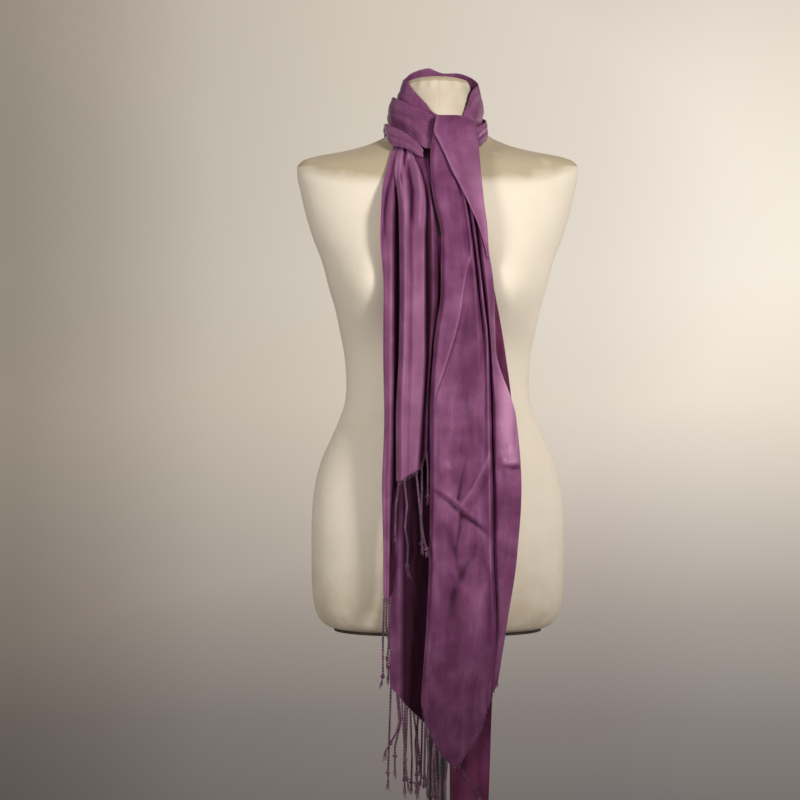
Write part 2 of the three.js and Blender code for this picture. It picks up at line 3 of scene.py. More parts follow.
import bpy
import numpy as np
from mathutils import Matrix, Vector


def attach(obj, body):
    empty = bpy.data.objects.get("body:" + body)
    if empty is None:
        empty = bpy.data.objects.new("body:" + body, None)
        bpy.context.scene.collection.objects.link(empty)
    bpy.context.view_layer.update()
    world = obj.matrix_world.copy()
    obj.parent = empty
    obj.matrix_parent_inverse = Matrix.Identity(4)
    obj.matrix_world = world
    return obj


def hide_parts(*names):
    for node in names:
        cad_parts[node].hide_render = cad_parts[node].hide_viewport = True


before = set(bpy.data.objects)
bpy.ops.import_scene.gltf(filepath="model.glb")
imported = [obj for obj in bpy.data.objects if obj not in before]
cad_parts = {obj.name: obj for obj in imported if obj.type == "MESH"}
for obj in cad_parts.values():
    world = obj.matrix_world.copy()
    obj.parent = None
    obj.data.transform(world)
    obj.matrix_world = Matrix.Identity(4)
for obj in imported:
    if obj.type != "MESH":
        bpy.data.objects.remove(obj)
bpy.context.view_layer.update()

# ---------------------------------------------------------------- view and studio
# A long lens at chest height, square to the form's front, in a pale warm grey studio whose
# wall is a backdrop with shade painted at the left and in its lower corners. A strong lamp
# stands high at the right, a weaker one at the left, and two wide soft ones behind the form
# light its edges.

CAMERA_PLACE = (-0.0521, -2.5, 1.064)
LENS = 80.94  # millimetres
FLOOR_RADIUS = 2.2
FLOOR_LEVEL = -0.0005
WALL_TONED = 0.217  # how far up and down the wall's tones run, as a share of the way to it


def shade_of(hex_text):
    """The linear colour of an sRGB hex value."""
    parts = [int(hex_text[i : i + 2], 16) / 255 for i in (0, 2, 4)]
    return [p / 12.92 if p <= 0.04045 else ((p + 0.055) / 1.055) ** 2.4 for p in parts] + [1.0]


def add_node(tree, kind, *inputs, stops=(), **named):
    """Adds one node. The inputs fill its first sockets in order, and a named value its input
    or its setting of that name. A socket is linked, as is a node by its first open output,
    and any other value is set. Stops are a colour ramp's places and sRGB hex colours."""
    node = tree.nodes.new(kind)
    wanted = list(enumerate(inputs))
    for name, value in named.items():
        label = name.replace("_", " ")
        if label in node.inputs:
            wanted.append((label, value))
        else:
            setattr(node, name, value)
    for key, value in wanted:
        if isinstance(value, bpy.types.Node):
            value = next(socket for socket in value.outputs if socket.enabled)
        if isinstance(value, bpy.types.NodeSocket):
            tree.links.new(node.inputs[key], value)
        else:
            node.inputs[key].default_value = value
    for _ in stops[2:]:
        node.color_ramp.elements.new(0.5)
    for k, (place, colour) in enumerate(stops):
        mark = node.color_ramp.elements[k]
        mark.position = place
        mark.color = shade_of(colour)
    return node


def new_material(name, **settings):
    """A named material whose fixed shader inputs are set, with the shader and its tree."""
    material = bpy.data.materials.new(name)
    material.use_nodes = True
    shader = material.node_tree.nodes["Principled BSDF"]
    for key, value in settings.items():
        shader.inputs[key.replace("_", " ")].default_value = value
    return material, shader, material.node_tree


camera = bpy.data.objects.new("camera", bpy.data.cameras.new("camera"))
camera.location = CAMERA_PLACE
camera.rotation_euler = (math.radians(90), 0, 0)
camera.data.lens = LENS
camera.data.clip_end = 40
bpy.context.scene.collection.objects.link(camera)
bpy.context.scene.camera = camera
bpy.context.scene.view_settings.view_transform = "Standard"

studio = bpy.data.worlds.new("studio")
bpy.context.scene.world = studio
studio.use_nodes = True
tree = studio.node_tree
tree.nodes.clear()
way = add_node(tree, "ShaderNodeTexCoord").outputs["Generated"]
parts = add_node(tree, "ShaderNodeSeparateXYZ", way).outputs
across = add_node(tree, "ShaderNodeMapRange", parts["X"], From_Min=-1.0, From_Max=1.0)
upward = add_node(tree, "ShaderNodeMapRange", parts["Z"], From_Min=-WALL_TONED, From_Max=WALL_TONED)
# painted light and shade on the wall: a dark band at the left, lightest right of the middle, and darker low
# down
painted_wall_across = add_node(tree, "ShaderNodeValToRGB", across, stops=[
    (0.0, "ddd6cb"), (0.3, "d2cbc0"), (0.37, "a59d92"), (0.396, "a0988d"), (0.418, "b1a99e"),
    (0.448, "cbc4b9"), (0.489, "dbd4c8"), (0.554, "eae2d8"), (0.587, "f9f2e7"), (0.608, "fdf6ea"),
    (0.7, "f4ede2"), (1.0, "e2dbd0"),
])
painted_wall_upward = add_node(tree, "ShaderNodeValToRGB", upward, stops=[
    (0.0, "b8b3b8"), (0.1, "b8b3b6"), (0.23, "cac5c5"), (0.37, "e4e0dd"), (0.5, "f8f4ef"),
    (0.66, "fdfbf8"), (1.0, "f6f3ef"),
])
wall = add_node(
    tree, "ShaderNodeMix", data_type="RGBA", blend_type="MULTIPLY", Factor=1.0, A=painted_wall_across, B=painted_wall_upward
)
# painted shade darkens the wall further in a round towards its lower right corner
spread = add_node(tree, "ShaderNodeMapping", way, Location=(0.747, 0.0, -0.254), Scale=(0.648, 0.0, 2.972))
away = add_node(tree, "ShaderNodeVectorMath", spread, operation="LENGTH")
fall_off = add_node(tree, "ShaderNodeMapRange", away, From_Max=2.0)
painted_corner_shade = add_node(tree, "ShaderNodeValToRGB", fall_off, stops=[
    (0.3, "ededed"), (0.35, "f9f9f9"), (0.44, "fcfcfc"), (0.483, "eaeaea"), (0.528, "d6d6d6"),
    (0.572, "c5c5c5"), (0.62, "acacac"), (1.0, "d0d0d0"),
])
shaded = add_node(
    tree, "ShaderNodeMix", data_type="RGBA", blend_type="MULTIPLY", Factor=1.0, A=wall, B=painted_corner_shade
)
seen = add_node(tree, "ShaderNodeBackground", shaded, Strength=1.0)
felt = add_node(tree, "ShaderNodeBackground", shade_of("ece6de"), Strength=0.2)
ray = add_node(tree, "ShaderNodeLightPath").outputs["Is Camera Ray"]
mixed = add_node(tree, "ShaderNodeMixShader", ray, felt, seen)
add_node(tree, "ShaderNodeOutputWorld", mixed)

for name, kind, place, aim, soft, cone, power, tone in (
    ("key_lamp", "SPOT", (1.3, -2.25, 1.9), (0.08, 0.0, 1.28), 0.28, 42, 244, "fffaf3"),
    ("left_lamp", "SPOT", (-1.5, -2.2, 1.72), (0.0, 0.0, 1.08), 0.4, 46, 132, "fffaf3"),
    ("wall_glow", "AREA", (1.7, 1.3, 1.5), (0.0, 0.0, 1.1), 1.0, 0, 13, "fff7ee"),
    ("back_lamp", "AREA", (-0.4, 2.8, 1.9), (0.0, 0.0, 1.1), 1.4, 0, 10, "fffaf3"),
):
    lamp = bpy.data.objects.new(name, bpy.data.lights.new(name, kind))
    if kind == "SPOT":
        lamp.data.shadow_soft_size = soft
        lamp.data.spot_size = math.radians(cone)
        lamp.data.spot_blend = 1.0
    else:
        lamp.data.size = soft
    lamp.data.energy = power
    lamp.data.color = shade_of(tone)[:3]
    lamp.location = place
    lamp.rotation_euler = (Vector(aim) - Vector(place)).to_track_quat("-Z", "Y").to_euler()
    bpy.context.scene.collection.objects.link(lamp)

bpy.ops.mesh.primitive_circle_add(
    vertices=96, radius=FLOOR_RADIUS, fill_type="NGON", location=(0, 0, FLOOR_LEVEL)
)
floor = bpy.context.object
floor.name = "floor"
# Painted concrete: pale, matt, and clouded a third of a metre wide where paint soaked in.
painted_floor, shader, tree = new_material("painted_concrete_floor", Roughness=0.75)
place = add_node(tree, "ShaderNodeTexCoord").outputs["Object"]
cloud = add_node(tree, "ShaderNodeTexNoise", place, Scale=3.0, Detail=4.0)
tint = add_node(tree, "ShaderNodeValToRGB", cloud, stops=[(0.3, "e3ded7"), (0.7, "e8e3dc")])
tree.links.new(shader.inputs["Base Color"], tint.outputs["Color"])
floor.data.materials.append(painted_floor)

# ---------------------------------------------------------------- dress form
# A limbless torso with a capped neck: moulded shell, thin wadding, and a cover of cream
# cotton jersey cut in panels. The cover is pulled tight and sewn over the neck cap and
# round the lower edge, where it is a little soiled from handling.

FORM_SECTIONS = [  # height, half width, reach to the front, reach to the back, squareness
    (750, 146, 88, 96, 2.3),
    (754, 156, 98, 106, 2.3),
    (764, 165, 105, 114, 2.3),
    (780, 171, 109, 118, 2.3),
    (814, 174.5, 111, 121, 2.3),
    (869, 175, 111, 122, 2.3),
    (911, 174, 109, 119, 2.3),
    (946, 170, 105, 113, 2.3),
    (981, 161, 101, 105, 2.3),
    (1008, 149, 98, 98, 2.3),
    (1036, 137, 94, 91, 2.3),
    (1064, 128, 91, 86, 2.3),
    (1085, 126.5, 90, 84, 2.3),
    (1120, 128.6, 91, 85, 2.3),
    (1161, 136, 94, 90, 2.3),
    (1190, 142, 96, 94, 2.3),
    (1217, 150, 97, 98, 2.3),
    (1256, 160.5, 98, 102, 2.3),
    (1286, 172, 97, 104, 2.3),
    (1321, 183, 93, 104, 2.3),
    (1356, 191, 87, 101, 2.2),
    (1376, 195, 78, 96, 2.1),
    (1386, 195, 72, 91, 2),
    (1395, 189, 66, 85, 1.8),
    (1401, 174, 62, 80, 1.6),
    (1410, 128, 58, 73, 1.45),
    (1418, 98, 56, 68, 1.45),
    (1430, 72, 54, 61, 1.7),
    (1445, 57, 51, 56, 2),
    (1465, 49, 48, 51, 2),
    (1486, 46, 46, 48, 2),
    (1499, 45, 45, 47, 2),
    (1505, 42, 42, 44, 2),
    (1508, 34, 34, 36, 2),
]


def curve_through(keys, values):
    """A smooth curve through the values, which never overshoots between them."""
    order = np.argsort(keys)
    keys, values = np.asarray(keys, float)[order], np.asarray(values, float)[order]
    span = np.diff(keys).reshape(-1, *[1] * (values.ndim - 1))
    slope = np.diff(values, axis=0) / span
    lean = np.concatenate([slope[:1], slope[:1] * 0 + slope[-1:]])
    if len(keys) > 2:
        same = slope[:-1] * slope[1:] > 0
        mean = 2 * slope[:-1] * slope[1:] / np.where(same, slope[:-1] + slope[1:], 1)
        lean = np.concatenate([slope[:1], np.where(same, mean, 0), slope[-1:]])

    def at(x):
        x = np.clip(x, keys[0], keys[-1])
        i = np.clip(np.searchsorted(keys, x, side="right") - 1, 0, len(span) - 1)
        long = span[i, ...] if values.ndim == 1 else span[i]
        t = (x - keys[i]) / long
        rise = values[i + 1] - values[i]
        bow = (1 - t) * (lean[i] * long - rise) + t * (rise - lean[i + 1] * long)
        return values[i] + t * rise + t * (1 - t) * bow

    return at


heights = [row[0] for row in FORM_SECTIONS]
form_half, form_front, form_back, form_square = (
    curve_through(heights, [row[k] for row in FORM_SECTIONS]) for k in (1, 2, 3, 4)
)
BUST_OUT, BUST_ACROSS, BUST_WIDE, BUST_HEIGHT, BUST_TALL = 46, 97, 58, 1217, 60
BUST_FADE = 30  # the bust fades where the form's side comes this near to its middle plane


def bust_at(x, z):
    """How far the bust stands out from the form's plain sections."""
    off = -(((np.abs(x) - BUST_ACROSS) / BUST_WIDE) ** 2) - ((z - BUST_HEIGHT) / BUST_TALL) ** 2
    return BUST_OUT * np.exp(off)


def form_reach(x, z):
    """How far in front of its axis the form's surface is, at a place of its front."""
    share = np.clip(np.abs(x) / form_half(z), 0, 1)
    square = form_square(z)
    reach = form_front(z) * (1 - share**square) ** (1 / square)
    return reach + bust_at(x, z) * np.clip(reach / BUST_FADE, 0, 1)


def form_share(x, y, z):
    """How far out from the form's axis a place is, as a share of the form's own reach."""
    reach = np.where(y < 0, form_front(z), form_back(z))
    square = form_square(z)
    return ((np.abs(x) / form_half(z)) ** square + (np.abs(y) / reach) ** square) ** (1 / square)


def make_mesh(name, points, faces, material, uv=None, fold=None):
    """A smooth piece from points in millimetres and its faces, with a UV in millimetres for
    each point, and a fold value for painted shade: up to 1 deep in a fold, down to -1 where a
    highlight is painted."""
    mesh = bpy.data.meshes.new(name)
    mesh.from_pydata((np.asarray(points) / 1000).tolist(), [], faces)
    mesh.validate()
    if uv is not None:
        layer = mesh.uv_layers.new(name="cloth")
        corner = np.empty(len(mesh.loops), dtype=np.int32)
        mesh.loops.foreach_get("vertex_index", corner)
        layer.data.foreach_set("uv", (np.asarray(uv) / 1000)[corner].astype(np.float32).ravel())
    if fold is not None:
        depths = mesh.attributes.new("fold", "FLOAT", "POINT").data
        depths.foreach_set("value", np.asarray(fold, np.float32))
    mesh.polygons.foreach_set("use_smooth", [True] * len(mesh.polygons))
    mesh.materials.append(material)
    piece = bpy.data.objects.new(name, mesh)
    bpy.context.scene.collection.objects.link(piece)
    return piece


# Cotton jersey: a fine matt knit. Its wales are 0.94 mm apart, too fine to see one by one,
# and only soften the light. It has yellowed in soft patches some 140 mm wide, and handling
# has soiled its lower edge. Shade is painted on the upward faces of its shoulders and all
# over its neck and cap.
jersey, shader, tree = new_material(
    "cotton_jersey_knit", Roughness=0.85, Sheen_Weight=0.18, Sheen_Roughness=0.5,
    Sheen_Tint=shade_of("fff4e0"), Specular_IOR_Level=0.25,
)
place = add_node(tree, "ShaderNodeTexCoord").outputs
rise = add_node(tree, "ShaderNodeSeparateXYZ", place["Object"]).outputs["Z"]
facing = add_node(tree, "ShaderNodeSeparateXYZ", place["Normal"]).outputs["Z"]
soil = add_node(tree, "ShaderNodeTexNoise", place["Object"], Scale=7.0, Detail=5.0, Roughness=0.6)
soiled = add_node(tree, "ShaderNodeValToRGB", soil, stops=[
    (0.25, "dcd2c1"), (0.5, "e3dacb"), (0.75, "e8e0d2"),
])
low_edge = add_node(tree, "ShaderNodeMapRange", rise, From_Min=0.75, From_Max=0.9, To_Min=1.3, To_Max=0.0)
# painted shade: darker on the upward faces of the shoulders and all over the neck and cap, added to the real
# soil of the lower edge
dust_and_top_shade = add_node(tree, "ShaderNodeMapRange", facing, From_Min=0.2, From_Max=0.5, To_Max=2.2)
shoulders = add_node(tree, "ShaderNodeMapRange", rise, From_Min=1.31, From_Max=1.37)
painted_neck_shade = add_node(tree, "ShaderNodeMapRange", rise, From_Min=1.37, From_Max=1.44, To_Max=0.9)
painted_top_shade = add_node(tree, "ShaderNodeMath", dust_and_top_shade, shoulders, operation="MULTIPLY")
painted_shade_places = add_node(tree, "ShaderNodeMath", painted_top_shade, painted_neck_shade, operation="ADD")
soil_and_painted_shade = add_node(tree, "ShaderNodeMath", low_edge, painted_shade_places, operation="ADD")
handled = add_node(tree, "ShaderNodeTexNoise", place["Object"], Scale=24.0, Detail=6.0)
wear_and_painted_shade = add_node(tree, "ShaderNodeMath", soil_and_painted_shade, handled, operation="MULTIPLY")
cover_tone = add_node(tree, "ShaderNodeMix", data_type="RGBA", Factor=wear_and_painted_shade, A=soiled, B=shade_of("b3a48c"))
tree.links.new(shader.inputs["Base Color"], cover_tone.outputs["Result"])
knit_map = add_node(tree, "ShaderNodeUVMap", uv_map="cloth")
# a wave repeats every 0.314 of its units, so these two sizes give ribs 0.94 mm apart
knit_size = add_node(tree, "ShaderNodeMapping", knit_map, Scale=(1047.0, 1047.0, 1.0))
wales = add_node(
    tree, "ShaderNodeTexWave", knit_size, wave_type="BANDS", bands_direction="X",
    Scale=0.318, Distortion=0.6, Detail=1.0, Detail_Scale=1.0,
)
knit_bump = add_node(tree, "ShaderNodeBump", Strength=0.12, Distance=0.0006, Height=wales.outputs["Fac"])
lumps = add_node(tree, "ShaderNodeTexNoise", place["Object"], Scale=16.0, Detail=3.0)
wadding = add_node(tree, "ShaderNodeBump", Strength=0.35, Distance=0.004, Height=lumps, Normal=knit_bump)
tree.links.new(shader.inputs["Normal"], wadding.outputs["Normal"])

SIDES = 200
ROWS = ((750, 764, 8), (764, 1376, 154), (1376, 1440, 40), (1440, 1499, 22), (1499, 1508, 12))
SEAM_DEEP, SEAM_WIDE = 0.55, 1.6
MEAN_RADIUS = 150  # turns the way round the form into millimetres of jersey
CAP_CENTRE, BOARD_CENTRE = (0, 1, 1509), (0, 4, 750)
levels = np.concatenate([np.linspace(low, high, count)[:-1] for low, high, count in ROWS] + [[ROWS[-1][1]]])
turn = 2 * np.pi * np.arange(SIDES) / SIDES
level, angle = np.meshgrid(levels, turn, indexing="ij")
square = form_square(level)
out_x, out_y = np.sin(angle), -np.cos(angle)
x = form_half(level) * np.sign(out_x) * np.abs(out_x) ** (2 / square)
y = np.where(out_y < 0, form_front(level), form_back(level)) * np.sign(out_y) * np.abs(out_y) ** (2 / square)
y = np.where(out_y < 0, y - bust_at(x, level) * np.clip(-y / BUST_FADE, 0, 1), y)
# the sewn panel lines down the front, sides and back, in half turns from the front
for seam in (0.0, 0.5, 1.0, 1.5):
    off = np.abs((angle / np.pi - seam + 1) % 2 - 1) * np.pi * np.hypot(x, y)
    dent = SEAM_DEEP * np.exp(-((off / SEAM_WIDE) ** 2))
    x, y = x * (1 - dent / np.hypot(x, y)), y * (1 - dent / np.hypot(x, y))
# the puckers round the neck cap and along the sewn lower edge
pucker = 0.7 * np.exp(-(((level - 1497) / 6) ** 2)) * np.sin(angle * 17 + 1.5 * np.sin(angle * 3))
hem = 0.5 * np.exp(-(((level - 762) / 5) ** 2)) * np.sin(angle * 41 + 2 * np.sin(angle * 5))
x, y = x * (1 + (pucker + hem) / np.hypot(x, y)), y * (1 + (pucker + hem) / np.hypot(x, y))
points = np.stack([x, y, level], -1).reshape(-1, 3)
uv = np.stack([angle * MEAN_RADIUS, level], -1).reshape(-1, 2)
j, i = np.meshgrid(np.arange(len(levels) - 1), np.arange(SIDES), indexing="ij")
low, low_next = j * SIDES + i, j * SIDES + (i + 1) % SIDES
faces = np.stack([low, low_next, low_next + SIDES, low + SIDES], -1).reshape(-1, 4).tolist()
rim = (len(levels) - 1) * SIDES
centre = len(points)
points = np.concatenate([points, [CAP_CENTRE, BOARD_CENTRE]])
uv = np.concatenate([uv, [[0, 1513], [0, 750]]])
faces += [[rim + k, rim + (k + 1) % SIDES, centre] for k in range(SIDES)]
faces += [[(k + 1) % SIDES, k, centre + 1] for k in range(SIDES)]
torso = make_mesh("torso_cover", points, faces, jersey, uv)
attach(torso, "root")
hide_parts("dress_form")

# ---------------------------------------------------------------- board under the torso
# A plywood board stained dark closes the torso's underside. The jersey is stapled round
# it, and its thin edge shows as a dark line under the form.

# Stained plywood: a dark brown stain, deeper in the open grain, with only a dull shine. The
# grain runs in streaks some 6 mm wide and 80 mm long.
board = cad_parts["form_base_board"]
stained, shader, tree = new_material("stained_plywood_board", Roughness=0.62)
place = add_node(tree, "ShaderNodeTexCoord").outputs["Object"]
stretch = add_node(tree, "ShaderNodeMapping", place, Scale=(4.0, 60.0, 60.0))
grain = add_node(tree, "ShaderNodeTexNoise", stretch, Scale=3.0, Detail=6.0, Distortion=0.4)
stain = add_node(tree, "ShaderNodeValToRGB", grain, stops=[
    (0.3, "241d18"), (0.55, "3a3029"), (0.8, "4a3e34"),
])
tree.links.new(shader.inputs["Base Color"], stain.outputs["Color"])
grain_bump = add_node(tree, "ShaderNodeBump", Strength=0.3, Distance=0.0004, Height=grain)
tree.links.new(shader.inputs["Normal"], grain_bump.outputs["Normal"])
for slot in board.material_slots:
    slot.material = stained

# ---------------------------------------------------------------- pole and base
# One steel tube carries the torso. It is pushed into a pressed steel flange under the
# board and into the hub of a heavy round base, all in satin near-black stoving enamel.

# Stoving enamel on steel: a greenish black satin skin with a faint orange peel 4 mm across,
# and duller in clouds some 30 mm wide, where dust lies on it.
enamel, shader, tree = new_material("black_stoving_enamel_on_steel", Roughness=0.42, Specular_IOR_Level=0.5)
place = add_node(tree, "ShaderNodeTexCoord").outputs["Object"]
dust_and_top_shade = add_node(tree, "ShaderNodeTexNoise", place, Scale=30.0, Detail=5.0)
coat = add_node(tree, "ShaderNodeValToRGB", dust_and_top_shade, stops=[(0.35, "1a1d18"), (0.7, "262a23")])
tree.links.new(shader.inputs["Base Color"], coat.outputs["Color"])
gloss = add_node(tree, "ShaderNodeMapRange", dust_and_top_shade, To_Min=0.36, To_Max=0.52)
tree.links.new(shader.inputs["Roughness"], gloss.outputs["Result"])
peel = add_node(tree, "ShaderNodeTexNoise", place, Scale=260.0, Detail=2.0)
peel_bump = add_node(tree, "ShaderNodeBump", Strength=0.08, Distance=0.0004, Height=peel)
tree.links.new(shader.inputs["Normal"], peel_bump.outputs["Normal"])

SPUN_SIDES = 96
EDGE_RADIUS = 0.0008


def spun(name, outline, replaced=None):
    """A turned steel piece: a circle is extruded and resized along the outline, radius then
    height. An outline that comes back to its start makes a ring."""
    bpy.ops.object.select_all(action="DESELECT")
    radius, height = outline[0]
    fill = "NOTHING" if outline[0] == outline[-1] else "NGON"
    bpy.ops.mesh.primitive_circle_add(
        vertices=SPUN_SIDES, radius=radius / 1000, fill_type=fill, location=(0, 0, height / 1000)
    )
    piece = bpy.context.object
    piece.name = piece.data.name = name
    bpy.ops.object.transform_apply(location=True)
    bpy.ops.object.mode_set(mode="EDIT")
    bpy.ops.mesh.select_all(action="SELECT")
    for (r0, z0), (r1, z1) in zip(outline, outline[1:]):
        bpy.ops.mesh.extrude_region_move(TRANSFORM_OT_translate={"value": (0, 0, (z1 - z0) / 1000)})
        bpy.ops.transform.resize(value=(r1 / r0, r1 / r0, 1), center_override=(0, 0, z1 / 1000))
    bpy.ops.mesh.select_all(action="SELECT")
    bpy.ops.mesh.remove_doubles(threshold=1e-5)
    bpy.ops.mesh.normals_make_consistent(inside=False)
    bpy.ops.object.mode_set(mode="OBJECT")
    soft = piece.modifiers.new("edge_radius", "BEVEL")
    soft.width = EDGE_RADIUS
    soft.segments = 2
    soft.limit_method = "ANGLE"
    soft.angle_limit = math.radians(25)
    bpy.ops.object.modifier_apply(modifier="edge_radius")
    bpy.ops.object.shade_smooth_by_angle(angle=math.radians(40))
    piece.data.materials.append(enamel)
    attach(piece, "root")
    if replaced:
        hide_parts(replaced)


spun("base_plate", [
    (176, 0.6), (179.5, 1.5), (180, 6), (176, 9), (120, 10.4), (60, 11.4),
    (40, 12), (34, 14), (31, 17), (22.5, 39), (20, 41.6), (13.2, 42),
], "stand_base")
spun("pole_tube", [(12.3, 42.3), (12.5, 43), (12.5, 744.2), (12.3, 745.2)], "stand_pole")
spun("pole_flange", [
    (38, 745.2), (38, 742.6), (20, 741.4), (16.4, 739), (15.6, 718), (14.6, 716.4),
    (12.7, 716.4), (12.7, 745.2), (38, 745.2),
])

# ---------------------------------------------------------------- the shawl's cloth
# A pashmina of viscose and silk, woven as a fine 2/2 twill and piece-dyed mauve, about
# 0.7 m by 2 m. It is doubled lengthwise, looped twice round the neck, and pulled through.

CLOTH = 0.7  # millimetres; the real twill is a little thinner
# the next two set where the painted shade of folds begins, and over what width
PRESSED_IN = 0.9  # how far behind its surroundings cloth begins to look like a fold
SURROUNDINGS = 9.0  # and how wide those are
UPRIGHT = 3.0  # how much longer the waves of hung cloth are than wide


def smooth(values, passes):
    """Evens out values along their first axis, and leaves the two ends alone."""
    for _ in range(passes):
        values[1:-1] = (values[:-2] + 2 * values[1:-1] + values[2:]) / 4
    return values


def of_length_one(arrows):
    return arrows / np.maximum(np.linalg.norm(arrows, axis=-1, keepdims=True), 1e-9)


def lay_sheet(name, surface, material, thick, down=None, shade=0.0, valley=2.8):
    """A shell of cloth on a middle surface of points, with a rounded edge all round.
    Its UV is the way across and along the cloth in millimetres, so the weave follows it.
    Its fold value is painted shade: it rises where the cloth lies behind its surroundings, to 1 a
    valley deep; shade adds to it, and below zero it is a painted highlight."""
    rows, columns = surface.shape[:2]
    normal = of_length_one(np.cross(np.gradient(surface, axis=1), np.gradient(surface, axis=0)))
    half = np.broadcast_to(thick, (rows, columns))[..., None] / 2
    step_u = np.linalg.norm(np.diff(surface, axis=1), axis=-1)
    step_v = np.linalg.norm(np.diff(surface, axis=0), axis=-1)
    u = np.concatenate([np.zeros((rows, 1)), np.cumsum(step_u, axis=1)], axis=1)
    v = np.concatenate([np.zeros((1, columns)), np.cumsum(step_v, axis=0)], axis=0)
    v = v if down is None else down
    smooth(u, 12)
    smooth(v.T, 60)
    level = surface.copy()
    smooth(level.swapaxes(0, 1), int(2 * (SURROUNDINGS / step_u.mean()) ** 2))
    outward = np.sign((normal[..., :2] * surface[..., :2]).sum())
    behind = -outward * ((surface - level) * normal).sum(axis=-1)
    fold = np.clip(np.clip((behind - PRESSED_IN) / valley, 0, 1) + shade, -1, 1).ravel()
    number = np.arange(rows * columns).reshape(rows, columns)
    ring = np.concatenate([number[0, :-1], number[:-1, -1], number[-1, :0:-1], number[:0:-1, 0]])
    inward = np.zeros_like(surface)
    inward[0], inward[-1] = surface[1] - surface[0], surface[-2] - surface[-1]
    inward[:, 0] += surface[:, 1] - surface[:, 0]
    inward[:, -1] += surface[:, -2] - surface[:, -1]
    flat_points, flat_uv = surface.reshape(-1, 3), np.stack([u, v], -1).reshape(-1, 2)
    edge = flat_points[ring] - (of_length_one(inward) * half).reshape(-1, 3)[ring]
    front = (surface + normal * half).reshape(-1, 3)
    back = (surface - normal * half).reshape(-1, 3)
    count, long = len(front), len(ring)
    a, b = number[:-1, :-1].ravel(), number[:-1, 1:].ravel()
    c, d = number[1:, 1:].ravel(), number[1:, :-1].ravel()
    after = np.roll(ring, -1)
    rim = 2 * count + np.arange(long)
    rim_after = np.roll(rim, -1)
    faces = np.concatenate([
        np.stack([a, b, c, d], -1),
        np.stack([d, c, b, a], -1) + count,
        np.stack([after, ring, rim, rim_after], -1),
        np.stack([rim_after, rim, ring + count, after + count], -1),
    ])
    points = np.concatenate([front, back, edge])
    uv = np.concatenate([flat_uv, flat_uv, flat_uv[ring]])
    return make_mesh(name, points, faces.tolist(), material, uv, np.concatenate([fold, fold, fold[ring]]))


def crease(surface, line, depth, width, reach=None):
    """Presses one fold line into a surface, seen from the front: its points are across and
    up, depth is how far it stands out, and width how soft it is. It fades at both ends, and
    where reach says, and gives back how far each point moved."""
    x, z = surface[..., 0], surface[..., 2]
    near = np.full(x.shape, np.inf)
    place = np.zeros(x.shape)
    line = np.asarray(line, float)
    legs = np.linalg.norm(np.diff(line, axis=0), axis=1)
    total, done = legs.sum(), 0.0
    for (x0, z0), (x1, z1), leg in zip(line, line[1:], legs):
        t = np.clip(((x - x0) * (x1 - x0) + (z - z0) * (z1 - z0)) / leg**2, 0, 1)
        off = np.hypot(x - x0 - t * (x1 - x0), z - z0 - t * (z1 - z0))
        place = np.where(off < near, (done + t * leg) / total, place)
        near = np.minimum(off, near)
        done += leg
    fade = np.sin(np.pi * np.clip(place, 0.02, 0.98)) ** 0.5
    amount = depth * fade / (1 + (near / width) ** 2) ** 1.5
    if reach:
        amount = amount * reach(surface)
    surface[..., 1] -= amount
    return amount


def press(surface, creases, reach=None):
    """Presses a list of creases, each a line, a depth and a width, and gives back their sum."""
    return sum(crease(surface, line, depth, width, reach) for line, depth, width in creases)


def fold_over(surface, line, height, wide, sharp=1.4):
    """A fold whose edge runs down a line: the cloth rises to it from the left over wide
    millimetres, and drops off sharply beyond it."""
    x, z = surface[..., 0], surface[..., 2]
    line = np.asarray(line, float)
    off = x - curve_through(line[:, 1], line[:, 0])(z)
    t = (z - line[:, 1].min()) / np.ptp(line[:, 1])
    fade = np.clip(np.minimum(t, 1 - t) * 6, 0, 1)
    shape = np.where(off < 0, np.exp(np.minimum(off, 0) / wide), np.exp(-np.maximum(off, 0) / sharp))
    surface[..., 1] -= height * shape * fade * fade * (3 - 2 * fade)


def rumple(surface, seed, deep, scale):
    """The faint waves that any hung cloth has, longer down than across."""
    dice = np.random.default_rng(seed)
    x, z = surface[..., 0] + 0.4 * surface[..., 1], surface[..., 2]
    wave = 0
    for size in (1.0, 0.62, 0.4):
        lean, shift, warp = dice.uniform(-0.25, 0.25), dice.uniform(0, 6.3, 3), dice.uniform(0.7, 1.3)
        long = scale * size
        inner = np.sin(z / (long * UPRIGHT) * 2 + shift[0]) * 1.3
        inner = inner + np.sin(z / (long * UPRIGHT * 1.7) + shift[2])
        wave = wave + size * np.sin((x + lean * z) / long * 2 * np.pi * warp + inner + shift[1])
    surface[..., 1] -= deep * wave * 0.5
    return surface


# Viscose and silk twill: long floats of smooth yarn catch a soft satin light where the
# cloth turns towards it. Its folds are painted with a darker, redder shade, and a pale pink
# highlight is painted where its fold value is below zero. Its ridges are 0.9 mm apart and are
# drawn 2.5 mm apart, since finer ones don't show. The dye has taken in faint streaks, 9 mm
# wide and 80 mm long.
RIDGE = 2.95  # millimetres from one ridge to the next, down the cloth
PICK = 2.4  # and from one float to the next, across it


